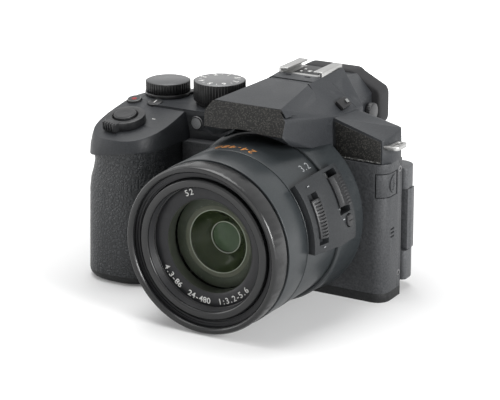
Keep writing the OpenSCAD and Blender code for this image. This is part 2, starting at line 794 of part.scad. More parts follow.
// Lens cell that runs on both guide rods, with a round recess in its front
module lens_cell(ends, recess) {
    deep = ends[1] - ends[0];
    difference() {
        union() {
            on_lens() translate([0, 0, ends[0]]) cylinder(r = rod_d - 4, h = deep, $fn = 96);
            box([-rod_d - 2.4, -ends[1], lens_z - 3], [rod_d + 2.4, -ends[0], lens_z + 3]);
        }
        for (s = [-1, 1])
            on_lens() translate([s * rod_d, 0, ends[0] - 1]) cylinder(r = rod_r + pin_gap, h = deep + 2);
        on_lens() translate([0, 0, ends[1] - recess]) cylinder(r = cell_hole, h = recess + 1);
    }
}

module zoom_group() color("#3f4446") {
    lens_cell(zoom_cell, 2 * iris_t);
}

module iris_ring() color("#141416") {
    z0 = zoom_cell[1] - 2 * iris_t;
    turned([[iris_r, z0], [cell_hole - 0.1, z0], [cell_hole - 0.1, z0 + iris_t], [iris_r, z0 + iris_t]]);
}

module focus_group() color("#3f4446") {
    lens_cell(focus_cell, 1.5);
}

module guide_rods() color("#c8cacc") {
    for (s = [-1, 1]) on_lens() translate([s * rod_d, 0, 0]) cylinder(r = rod_r, h = barrel_seam - 0.4);
}

module image_sensor() color("#4b6a78") {
    box([-sensor[0] / 2, -sensor[2], lens_z - sensor[1] / 2], [sensor[0] / 2, 0, lens_z + sensor[1] / 2]);
}

module sensor_plate() color("#9a9d9f") {
    box([1 - tube_r, 0, lens_z - tube_r + 8], [tube_r - 1, plate_t, lens_z + tube_r - 9]);
}

module main_board() color("#1f5a3a") {
    box([cavity[0][0] + 2, board_y, cavity[1][0] + 1],
        [cavity[0][1] - 2, board_y + board_t, cavity[1][1] - 1]);
}

module zoom_motor() color("#a9abad") {
    translate([cavity[0][1] - 5.5, 0, cavity[1][0] + 5.5]) rotate([90, 0, 0]) {
        translate([0, 0, -1]) cylinder(r = 4.5, h = 1 - cavity_front);
        translate([0, 0, -2.4]) cylinder(r = 1.5, h = 1.4);
    }
}

module viewfinder_panel() color("#1a2733") {
    translate([0, finder_front, finder_z]) rotate([-90, 0, 0]) cylinder(r = finder_r - gap, h = 1.6);
}

module eyepiece_lens() color("#6f7d86", 0.6) {
    translate([0, finder_back - 4, finder_z]) rotate([-90, 0, 0]) cylinder(r = finder_r - pin_gap, h = 4);
}

// Right half of the eyecup's outline, from its foot to its narrow top
function eyecup_half() = concat(
    arc([eyecup_w - eyecup_round, finder_z - eyecup_down + eyecup_round], eyecup_round, -90, 0),
    arc([eyecup_w - eyecup_round, finder_z + eyecup_side], eyecup_round, 0, 42, 4),
    arc([eyecup_top - eyecup_round, finder_z + eyecup_up - eyecup_round], eyecup_round, 42, 90, 4));

module eyecup() color("#191919") {
    half = eyecup_half();
    difference() {
        along_y(concat(half, [for (i = [len(half) - 1:-1:0]) [-half[i][0], half[i][1]]]),
                finder_back, finder_back + eyecup_l);
        along_y(round_box(window[0] + [0, finder_z], window[1] + [0, finder_z], [4, 4, 4, 4]),
                finder_back - 1, finder_back + eyecup_l + 1);
    }
}

module dioptre_wheel() color("#2a2a2b") {
    translate(dioptre) rotate([0, 90, 0]) {
        translate([0, 0, 0.5]) linear_extrude(2.4) knurl(4.2, 0.3, 24);
        translate([0, 0, -5]) cylinder(r = 1.5, h = 5.6);
    }
}

module hot_shoe() color("#c9cbcc") {
    y1 = shoe_y0 + shoe_l;
    box([-shoe_w, shoe_y0, shoe_z], [shoe_w, y1, shoe_z + shoe_t]);
    mirrored_x() {
        box([shoe_w - 1.2, shoe_y0, shoe_z], [shoe_w, y1, shoe_z + shoe_t + shoe_slot + 0.8]);
        box([shoe_gap, shoe_y0, shoe_z + shoe_t + shoe_slot], [shoe_w, y1, shoe_z + shoe_t + shoe_slot + 0.8]);
    }
}

module shoe_spring() color("#b0b2b4") {
    difference() {
        box([-shoe_w + 1.3, shoe_y0 + 1, shoe_z + shoe_t],
            [shoe_w - 1.3, shoe_y0 + shoe_l - 2, shoe_z + shoe_t + 0.3]);
        box([-shoe_gap, shoe_y0 + 4, shoe_z], [shoe_gap, far, far]);
    }
}

// Frame on the hump's right facet: Z is the facet's normal
module on_facet() {
    translate(slider_pos) rotate(acos(slider_dir[2]), cross([0, 0, 1], slider_dir)) children();
}

module flash_slider() color("#1a1a1b") {
    on_facet() {
        translate([-2.2, -3.4, 0.3]) cube([4.4, 6.8, 1.6]);
        translate([0, 0, -1.2]) cylinder(r = slider_stem, h = 1.8);
    }
}

module shutter_button() color("#3a3b3d") {
    on_deck(shutter_pos) {
        translate([0, 0, 1.4]) cylinder(r = shutter_r, h = 3);
        translate([0, 0, -6]) cylinder(r = 2.2, h = 7.6);
    }
}

module zoom_lever() color("#2c2d2f") {
    on_deck(shutter_pos) difference() {
        union() {
            translate([0, 0, gap]) cylinder(r = lever_r, h = 3.3);
            rotate([0, 0, -100]) translate([lever_r - 2, -3.4, gap]) cube([4, 6.8, 3.6]);
            rotate([0, 0, -100]) for (i = [-2:2]) translate([lever_r + 1, 1.4 * i - 0.4, 1]) cube([1.6, 0.8, 3.5]);
        }
        translate([0, 0, -1]) cylinder(r = shutter_r + gap + 0.05, h = 6);
    }
}

module small_button(pos) {
    on_deck(pos) translate([0, 0, -2.2]) cylinder(r = button_r, h = 3);
}

module record_button() color("#2c2d2f") {
    small_button(record_pos);
}

module function_button() color("#2c2d2f") {
    small_button(fn_pos);
}

module control_dial() color("#3c3d3f") {
    translate([dial_pos[0], dial_pos[1], 0]) {
        translate([0, 0, deck_z + 2]) linear_extrude(dial_top - deck_z - 2) knurl(dial_r, 0.35, 48);
        translate([0, 0, deck_z - stem_l + 0.5]) cylinder(r = stem_r, h = stem_l + 2);
    }
}

// Power switch under the dial: a flat ring with one thumb tab
module power_lever() color("#8f9193") {
    translate([dial_pos[0], dial_pos[1], deck_z + gap]) difference() {
        linear_extrude(1.4) rotate([0, 0, power_a]) polygon(concat(
            arc([0, 0], dial_r + 0.3, 15, 345, 44), arc([dial_r + 2.4, 0], 2.4, -80, 80)));
        translate([0, 0, -1]) cylinder(r = stem_r + gap, h = 4);
    }
}

module mode_dial() color("#b4b6b8") {
    translate([mode_pos[0], mode_pos[1], 0]) {
        translate([0, 0, deck_z + 2]) linear_extrude(mode_top - deck_z - 2) knurl(mode_r, 0.4, 54);
        translate([0, 0, deck_z + gap]) cylinder(r = mode_r - 1.2, h = 2);
        translate([0, 0, deck_z - stem_l + 0.5]) cylinder(r = stem_r, h = stem_l);
    }
}

// Radius of the pod's skin at distance z along the lens
function pod_at(z) = pod_r - (pod_rise - pod_lip) * max(0, z - pod_ridge) / (pod_front - pod_ridge);

// Control pod: a turned pad on the barrel's side, sloped at its front, with seats for its controls
module control_pod() color("#27282a") {
    difference() {
        sector([[barrel_r + pin_gap, pod_front], [barrel_r + pod_lip, pod_front], [pod_r, pod_ridge],
                [pod_r, flange_front - 4], [pod_r - 2, flange_front - 6.2],
                [flange_r + pin_gap, flange_front - 6.2], [flange_r + pin_gap, flange_front + gap],
                [barrel_r + pin_gap, flange_front + gap]], pod_a0, pod_a1);
        pod_slot(pod_lever_z, lever_w, lever_a);
        pod_slot(pod_switch_z, switch_w, [switch_angle - switch_half, switch_angle + switch_half]);
        on_pod_button() cylinder(r = pod_button_r + gap, h = 9);
    }
}

// Slot round a control that turns about the lens axis, with room for its play
module pod_slot(z, w, a) {
    sector([[pod_seat, z - gap], [pod_r + 4, z - gap], [pod_r + 4, z + w + gap], [pod_seat, z + w + gap]],
           a[0] - pod_play, a[1] + pod_play);
}

module on_pod_button() {
    on_lens() rotate([0, 0, pod_button_a])
        translate([pod_r - 3, 0, flange_front + 1]) rotate([0, 90, 0]) children();
}

// Side zoom slider with ribs across it
module pod_lever() color("#3a3b3d") {
    z = pod_lever_z;
    mid = pod_at(z + lever_w / 2);
    difference() {
        sector([[pod_seat + gap, z], [pod_at(z) + 0.6, z], [mid + 1.4, z + lever_w / 2],
                [pod_at(z + lever_w) + 0.6, z + lever_w], [pod_seat + gap, z + lever_w]], lever_a[0], lever_a[1]);
        for (a = [lever_a[0] + 1.2:1.9:lever_a[1] - 1])
            sector([[mid + 0.4, z + 0.6], [pod_r + 4, z + 0.6], [pod_r + 4, z + lever_w - 0.6],
                    [mid + 0.4, z + lever_w - 0.6]], a, a + 0.9);
    }
}

// Focus switch: a dished slide with a raised ribbed back edge
module focus_switch() color("#3a3b3d") {
    z = pod_switch_z;
    difference() {
        sector([[pod_seat + gap, z], [pod_r + 1.6, z], [pod_r + 1.6, z + 2.6], [pod_r + 0.2, z + 3.4],
                [pod_r - 0.6, z + 5.4], [pod_r + 0.6, z + switch_w], [pod_seat + gap, z + switch_w]],
               switch_angle - switch_half, switch_angle + switch_half);
        for (a = [switch_angle - switch_half + 1:1.8:switch_angle + switch_half - 1])
            sector([[pod_r + 1.1, z - 1], [pod_r + 4, z - 1], [pod_r + 4, z + 3], [pod_r + 1.1, z + 3]], a, a + 0.8);
    }
}

module pod_button() color("#3a3b3d") {
    on_pod_button() translate([0, 0, 1.1]) cylinder(r = pod_button_r, h = 2.6);
}

// Outline of the monitor panel seen from above, with a round outer back edge
function lcd_plan() = round_box([lcd_x0, lcd_y0], [side_x, lcd_y0 + lcd_t], [2, 2, lcd_round, 2]);

module lcd_frame() color("#222325") {
    difference() {
        slab(lcd_plan(), lcd_z0, lcd_z0 + lcd_h);
        box([hinge_x - hinge_r - 1.5, lcd_y0 - 1, hinge_z0 - gap],
            [side_x + 1, lcd_y0 + lcd_t + 1, hinge_z1 + gap]);
        box([lcd_x0 + 3, lcd_y0 + lcd_t - 1.2, lcd_z0 + 3],
            [hinge_x - hinge_r - 3.5, lcd_y0 + lcd_t + 1, lcd_z0 + lcd_h - 3]);
        translate([hinge_x, hinge_y, hinge_z0 - 5]) cylinder(r = lcd_pin_r + pin_gap, h = hinge_z1 - hinge_z0 + 10);
    }
}

module lcd_screen() color("#0d1116") {
    box([lcd_x0 + 3.05, lcd_y0 + lcd_t - 1.2, lcd_z0 + 3.05],
        [hinge_x - hinge_r - 3.55, lcd_y0 + lcd_t - 0.1, lcd_z0 + lcd_h - 3.05]);
}

module lcd_hinge() color("#1e1f21") {
    difference() {
        union() {
            translate([hinge_x, hinge_y, hinge_z0]) cylinder(r = hinge_r, h = hinge_z1 - hinge_z0);
            box([hinge_x, hinge_y - hinge_r, hinge_z0], [side_x, hinge_y + hinge_r, hinge_z1]);
            box([side_x - relief - 1.7, back_d, hinge_z0], [side_x - relief - 0.1, hinge_y, hinge_z1]);
        }
        translate([hinge_x, hinge_y, hinge_z0 - 1]) cylinder(r = lcd_pin_r + pin_gap / 2, h = hinge_z1 - hinge_z0 + 2);
    }
}

// Pins of the flash lid and of the monitor
module hinge_pins() color("#b9bcc0") {
    flash_axle(pin_r);
    translate([hinge_x, hinge_y, hinge_z0 - 4.6]) cylinder(r = lcd_pin_r, h = hinge_z1 - hinge_z0 + 9.2);
}

module battery() color("#2f3134") {
    slab(round_box(well[0], well[1], [2, 2, 2, 2]), base_t, base_t + battery_h);
}

module memory_card() color("#20408a") {
    box([card[0][0], card[0][1], base_t], [card[1][0], card[1][1], base_t + card_h]);
}

module battery_door() color("#1d1e20") {
    difference() {
        union() {
            slab(round_box([door_x0, door_y0], [door_x1 - door_hinge_r, door_y1], [3, 0.4, 0.4, 3]), 0, door_t);
            translate([door_x1 - door_hinge_r, door_y0, door_hinge_r]) rotate([-90, 0, 0])
                cylinder(r = door_hinge_r, h = door_y1 - door_y0);
        }
        box([latch_x - 3 - gap, latch_y0 - gap, -1], [latch_x + 6 + gap, latch_y1 + gap, 1.2]);
    }
}

module door_latch() color("#3a3b3d") {
    box([latch_x - 3, latch_y0, 0], [latch_x + 3, latch_y1, 1.2 - gap / 3]);
}

module tripod_insert() color("#b8a06a") {
    difference() {
        cylinder(r = insert_r, h = base_t + 1.6);
        translate([0, 0, -1]) cylinder(r = tripod_r, h = tripod_l + 1);
    }
}

// Strap lugs: flat metal loops let into both ends of the top cover
module strap_lugs() color("#c9cbcc") {
    lug_places() difference() {
        lug_blank(0);
        slab(round_box([1, 1.6 - lug_w / 2], [lug_out - 1.5, lug_w / 2 - 1.6], [0.9, 0.9, 0.9, 0.9]), -1, lug_t + 1);
    }
}

module lug_places() {
    translate(right_lug) children();
    translate(left_lug) mirror([1, 0, 0]) children();
}

module lug_blank(extra) {
    slab(round_box([-lug_in - extra, -lug_w / 2 - extra], [lug_out, lug_w / 2 + extra], [0.2, 2, 2, 0.2]),
         -extra, lug_t + extra);
}

module mic_flap() color("#27282a") {
    slab(corner_band(corner_r - flap_t, corner_r, flap_turn, flap_tail), flap_z0, flap_z1);
}

// Frame of the microphone socket, whose axis leaves the rounded corner
module on_jack() {
    translate([corner_x, corner_y, (flap_z0 + flap_z1) / 2]) rotate([0, 0, -35]) rotate([0, 90, 0]) children();
}

module mic_jack() color("#b9bcc0") {
    on_jack() difference() {
        translate([0, 0, -5]) cylinder(r = jack_r, h = 5 + jack_front);
        translate([0, 0, -4]) cylinder(r = 1.75, h = 20);
    }
}

module cursor_pad() color("#2c2d2f") {
    on_panel(pad_pos) difference() {
        translate([0, 0, -1.9]) cylinder(r = 10, h = 3);
        translate([0, 0, -3]) cylinder(r = 3.4 + gap, h = 6);
    }
}

module set_button() color("#333437") {
    on_panel(pad_pos) {
        translate([0, 0, -1.2]) cylinder(r = 3.4, h = 2.6);
        translate([0, 0, -7]) cylinder(r = 2, h = 6);
    }
}

module play_button() color("#2c2d2f") {
    on_panel(play_pos) translate([0, 0, -2.2]) cylinder(r = 3, h = 3);
}

module case_screws() color("#7d7f82") {
    screw_seats(0);
    for (s = base_screws) translate([s[0], s[1], 0]) cylinder(r = screw_r, h = 1.4);
}

front_cover();
rear_cover();
top_cover();
base_plate();
grip_core();
grip_skin();
thumb_pad();
shoulder_panel();
af_lamp();
lens_flange();
lens_barrel();
barrel_collar();
front_ring();
control_pod();
zoom_barrel();
name_ring();
front_element();
zoom_group();
iris_ring();
focus_group();
guide_rods();
image_sensor();
sensor_plate();
main_board();
zoom_motor();
viewfinder_panel();
eyepiece_lens();
eyecup();
dioptre_wheel();
hot_shoe();
shoe_spring();
flash_lid();
flash_window();
hinge_pins();
flash_slider();
shutter_button();
zoom_lever();
record_button();
function_button();
control_dial();
power_lever();
mode_dial();
pod_lever();
focus_switch();
pod_button();
lcd_frame();
lcd_screen();
lcd_hinge();
battery();
battery_door();
door_latch();
memory_card();
tripod_insert();
strap_lugs();
mic_flap();
mic_jack();
cursor_pad();
set_button();
play_button();
case_screws();
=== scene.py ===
"""Bridge camera: finishes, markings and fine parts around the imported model."""

import json
import logging
import math
from collections.abc import Callable, Iterator, Sequence
from contextlib import contextmanager
from dataclasses import dataclass, field
from enum import Enum

import bpy
from mathutils import Matrix, Vector

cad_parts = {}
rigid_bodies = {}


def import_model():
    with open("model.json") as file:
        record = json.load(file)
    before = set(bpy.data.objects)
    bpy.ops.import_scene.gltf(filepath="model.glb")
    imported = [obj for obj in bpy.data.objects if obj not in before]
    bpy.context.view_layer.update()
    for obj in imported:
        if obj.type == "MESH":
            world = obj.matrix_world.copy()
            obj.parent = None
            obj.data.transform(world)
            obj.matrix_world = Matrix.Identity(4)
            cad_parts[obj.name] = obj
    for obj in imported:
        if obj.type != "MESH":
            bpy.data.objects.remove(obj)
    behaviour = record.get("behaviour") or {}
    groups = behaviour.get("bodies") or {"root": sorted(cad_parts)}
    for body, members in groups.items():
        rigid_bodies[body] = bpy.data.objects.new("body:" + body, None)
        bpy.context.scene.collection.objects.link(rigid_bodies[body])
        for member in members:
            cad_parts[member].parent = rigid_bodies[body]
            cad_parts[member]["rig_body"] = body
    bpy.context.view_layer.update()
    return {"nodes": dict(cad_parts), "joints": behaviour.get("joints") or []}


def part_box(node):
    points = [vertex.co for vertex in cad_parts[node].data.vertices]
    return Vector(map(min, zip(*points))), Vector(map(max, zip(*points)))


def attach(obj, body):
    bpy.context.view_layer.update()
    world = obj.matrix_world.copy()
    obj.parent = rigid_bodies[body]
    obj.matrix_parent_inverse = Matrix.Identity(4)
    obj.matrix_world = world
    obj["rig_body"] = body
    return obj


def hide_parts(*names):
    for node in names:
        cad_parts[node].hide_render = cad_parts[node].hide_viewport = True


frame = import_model()
LOG = logging.getLogger("camera")
MM = 0.001
WELD = 2e-6
FLAT_DEGREES = 0.6
EVEN_CUTS = 5
EVEN_ROUNDS = 60
NUMERAL_PART = 0.7
NUMERAL_DEPTH = 0.02
BODY = "camera_body"
SIDE, BACK, UP = Vector((1, 0, 0)), Vector((0, 1, 0)), Vector((0, 0, 1))
Point = tuple[float, float, float]
Colour = tuple[float, float, float]
Profile = Sequence[tuple[float, float]]
Piece = bpy.types.Object
Node = bpy.types.Node
Socket = bpy.types.NodeSocket
Value = Socket | float
Face = bpy.types.MeshPolygon
FaceTest = Callable[[Face], bool]


class Grain(Enum):
    """Surface texture of a finish."""

    SPARK = "spark"
    LEATHER = "leather"
    SPECKLE = "speckle"
    TURNED = "turned"


class Graph:
    """Adds nodes to one node tree and links them."""

    def __init__(self, tree: bpy.types.NodeTree) -> None:
        """Start from an empty tree."""
        self.tree = tree
        tree.nodes.clear()

    def feed(self, node: Node, inputs: dict) -> None:
        """Give a node's inputs their values, or link them to output sockets.

        Args:
            node: The node.
            inputs: Values or output sockets by input.
        """
        for key, value in inputs.items():
            if isinstance(value, Socket):
                self.tree.links.new(value, node.inputs[key])
            else:
                node.inputs[key].default_value = value

    def add(self, kind: str, inputs: dict | None = None, **settings: object) -> Node:
        """Add one node.

        Args:
            kind: The node's type name, without its ShaderNode.
            inputs: Values or output sockets for the node's inputs.
            settings: Properties of the node.

        Returns:
            The new node.
        """
        node = self.tree.nodes.new(f"ShaderNode{kind}")
        for key, value in settings.items():
            setattr(node, key, value)
        self.feed(node, inputs or {})
        return node

    def math(self, operation: str, first: Value, second: Value = 0.0, third: Value = 0.0) -> Socket:
        """Return the result socket of one math node."""
        return self.add("Math", {0: first, 1: second, 2: third}, operation=operation).outputs[0]

    def scaled(self, vector: Socket, factor: Value) -> Socket:
        """Return a vector times a factor."""
        node = self.add("VectorMath", {"Vector": vector, "Scale": factor}, operation="SCALE")
        return node.outputs["Vector"]

    def spread(self, value: Value, low: float, high: float, to_low: float = 0.0,
               to_high: float = 1.0) -> Socket:
        """Map a value from one range to another, without going past it."""
        values = {"Value": value, "From Min": low, "From Max": high, "To Min": to_low, "To Max": to_high}
        return self.add("MapRange", values).outputs["Result"]

    def noise(self, vector: Socket, scale: float, detail: float, output: str = "Fac",
              **inputs: float) -> Socket:
        """Return an output of a noise texture."""
        values = {"Vector": vector, "Scale": scale, "Detail": detail, **inputs}
        return self.add("TexNoise", values).outputs[output]

    def surface(self, inputs: dict) -> None:
        """Close a material with its surface shader."""
        shader = self.add("BsdfPrincipled", inputs)
        self.add("OutputMaterial", {"Surface": shader.outputs["BSDF"]})

    def mixed(self, factor: Socket, first: Colour, second: Colour) -> Socket:
        """Return the mix of two colours."""
        colours = {"Factor": factor, "A": (*first, 1.0), "B": (*second, 1.0)}
        return self.add("Mix", colours, data_type="RGBA").outputs[2]


class GrainGroups:
    """Shader node groups that several finishes share, each built once."""

    made: dict[str, bpy.types.NodeTree] = {}

    @classmethod
    def _start(cls, name: str, inputs: Sequence[str] = ("Size",),
               outputs: Sequence[str] = ("Height", "Tone")) -> tuple[Graph, dict, Node]:
        """Make an empty group with a vector input and named value sockets.

        Args:
            name: The group's name.
            inputs: Names of its value inputs.
            outputs: Names of its value outputs.

        Returns:
            The graph, the input sockets by name, and the output node.
        """
        tree = bpy.data.node_groups.new(name, "ShaderNodeTree")
        tree.interface.new_socket(name="Vector", in_out="INPUT", socket_type="NodeSocketVector")
        for way, names in (("INPUT", inputs), ("OUTPUT", outputs)):
            for key in names:
                tree.interface.new_socket(name=key, in_out=way, socket_type="NodeSocketFloat")
        graph = Graph(tree)
        entry = tree.nodes.new("NodeGroupInput")
        cls.made[name] = tree
        return graph, {s.name: s for s in entry.outputs if s.name}, tree.nodes.new("NodeGroupOutput")

    @classmethod
    def _grain(cls, grain: Grain) -> tuple[Graph, Node, Socket]:
        """Start a grain's group; return its graph, its output node and the place counted in grains."""
        graph, given, out = cls._start(grain.value)
        return graph, out, graph.scaled(given["Vector"], graph.math("DIVIDE", 1.0, given["Size"]))

    @classmethod
    def get(cls, grain: Grain) -> bpy.types.NodeTree:
        """Return the group of a grain, building it on first use.

        Args:
            grain: The grain.

        Returns:
            The node group.
        """
        if grain.value not in cls.made:
            getattr(cls, f"_{grain.value}")()
        return cls.made[grain.value]

    @classmethod
    def handling(cls) -> bpy.types.NodeTree:
        """Return the group that varies sheen and tone as handling does.

        Returns:
            The node group.
        """
        if "handling" not in cls.made:
            graph, given, out = cls._start("handling", [], ["Tone"])
            broad = graph.noise(given["Vector"], 70.0, 3.0)
            fine = graph.noise(given["Vector"], 900.0, 2.0)
            both = graph.math("MULTIPLY_ADD", fine, 0.35, broad)
            graph.feed(out, {"Tone": graph.spread(both, 0.4, 0.95)})
        return cls.made["handling"]

    @classmethod
    def _spark(cls) -> None:
        """Fine pebbled texture of moulded plastic."""
        graph, out, place = cls._grain(Grain.SPARK)
        noise = graph.noise(place, 1.0, 2.0, Roughness=0.6)
        cells = graph.add("TexVoronoi", {"Vector": place, "Scale": 1.3}).outputs["Distance"]
        height = graph.math("SUBTRACT", noise, graph.math("MULTIPLY", cells, 0.4))
        graph.feed(out, {"Height": graph.spread(height, 0.0, 0.6), "Tone": graph.spread(noise, 0.3, 0.7)})

    @classmethod
    def _leather(cls) -> None:
        """Pebbled skin with soft valleys between its cells."""
        graph, out, place = cls._grain(Grain.LEATHER)
        bend = graph.scaled(graph.noise(place, 0.7, 2.0, "Color"), 0.9)
        bent = graph.add("VectorMath", {0: place, 1: bend}, operation="ADD").outputs[0]
        cells = graph.add("TexVoronoi", {"Vector": bent, "Scale": 1.0}, feature="DISTANCE_TO_EDGE")
        fine = graph.noise(place, 4.0, 1.0)
        pebble = graph.spread(cells.outputs["Distance"], 0.02, 0.32)
        height = graph.math("ADD", pebble, graph.math("MULTIPLY", fine, 0.25))
        graph.feed(out, {"Height": height, "Tone": pebble})

    @classmethod
    def _speckle(cls) -> None:
        """Coarse grain whose raised specks catch the light."""
        graph, out, place = cls._grain(Grain.SPECKLE)
        cells = graph.add("TexVoronoi", {"Vector": place, "Scale": 1.0})
        parts = graph.add("SeparateColor", {"Color": cells.outputs["Color"]})
        dot = graph.spread(cells.outputs["Distance"], 0.55, 0.25)
        speck = graph.math("MULTIPLY", dot, graph.math("GREATER_THAN", parts.outputs[0], 0.3))
        noise = graph.noise(place, 1.4, 2.0)
        height = graph.math("ADD", speck, graph.math("MULTIPLY", noise, 0.6))
        graph.feed(out, {"Height": height, "Tone": speck})

    @classmethod
    def _turned(cls) -> None:
        """Fine rings left by turning, about the Z axis of the given vector."""
        graph, given, out = cls._start(Grain.TURNED.value)
        parts = graph.add("SeparateXYZ", {"Vector": given["Vector"]}).outputs
        across = graph.math("ADD", *(graph.math("MULTIPLY", parts[key], parts[key]) for key in "XY"))
        radius = graph.math("DIVIDE", graph.math("SQRT", across), given["Size"])
        wave = graph.math("SINE", graph.math("MULTIPLY", radius, 2 * math.pi))
        height = graph.math("DIVIDE", parts["Z"], given["Size"])
        place = graph.add("CombineXYZ", {"X": radius, "Y": height}).outputs[0]
        noise = graph.noise(place, 1.7, 2.0)
        ridges = graph.math("ADD", noise, graph.math("MULTIPLY", wave, 0.2))
        graph.feed(out, {"Height": ridges, "Tone": graph.spread(noise, 0.3, 0.7)})


@dataclass(frozen=True)
class Surface:
    """How a piece looks."""

    name: str
    colour: Colour
    slot: str = field(default="", kw_only=True)

    def material(self) -> bpy.types.Material:
        """Return the surface's material, building it on first use.

        Returns:
            The material.
        """
        label = f"finish_{self.name}"
        found = bpy.data.materials.get(label)
        if found:
            return found
        material = bpy.data.materials.new(label)
        material.use_nodes = True
        material.diffuse_color = (*self.colour, 1.0)
        graph = Graph(material.node_tree)
        graph.surface(self._values(graph, graph.add("TexCoord").outputs["Object"]))
        return material

    def _values(self, graph: Graph, place: Socket) -> dict:
        """Return the shader's inputs at a place on the piece."""
        raise NotImplementedError


@dataclass(frozen=True)
class Finish(Surface):
    """One surface finish: its colours, gloss and grain, with grain sizes in mm."""

    light: Colour
    roughness: float
    size: float = 0.4
    depth: float = 0.012
    grain: Grain = Grain.SPARK
    metallic: float = 0.0
    coat: float = 0.0
    specular: float = 0.3
    uneven: float = 0.1

    def _values(self, graph: Graph, place: Socket) -> dict:
        """Let grain and handling drive colour, roughness and bump.

        Args:
            graph: The material's graph.
            place: Where on the piece.

        Returns:
            The shader's inputs.
        """
        inputs = {"Vector": place, "Size": self.size * MM}
        grain = graph.add("Group", inputs, node_tree=GrainGroups.get(self.grain)).outputs
        worn = graph.add("Group", {"Vector": place}, node_tree=GrainGroups.handling()).outputs["Tone"]
        tone = graph.math("MULTIPLY", grain["Tone"], graph.spread(worn, 0.0, 1.0, 0.75, 1.0))
        half = self.uneven / 2
        rough = graph.spread(worn, 0.0, 1.0, max(0.02, self.roughness - half), self.roughness + half)
        bump = graph.add("Bump", {"Height": grain["Height"], "Strength": 1.0, "Distance": self.depth * MM})
        return {"Base Color": graph.mixed(tone, self.colour, self.light), "Roughness": rough,
                "Normal": bump.outputs["Normal"], "Metallic": self.metallic, "Coat Weight": self.coat,
                "Specular IOR Level": self.specular, "Coat Roughness": 0.15}


@dataclass(frozen=True)
class Glass(Surface):
    """Coated optical glass."""

    roughness: float = 0.02
    index: float = 1.5

    def _values(self, graph: Graph, place: Socket) -> dict:
        """Tint the glass unevenly, as a coating does."""
        tint = graph.mixed(graph.noise(place, 40.0, 1.0), self.colour, tuple(0.92 * c for c in self.colour))
        return {"Base Color": tint, "Roughness": self.roughness, "IOR": self.index,
                "Transmission Weight": 1.0, "Metallic": 0.0}


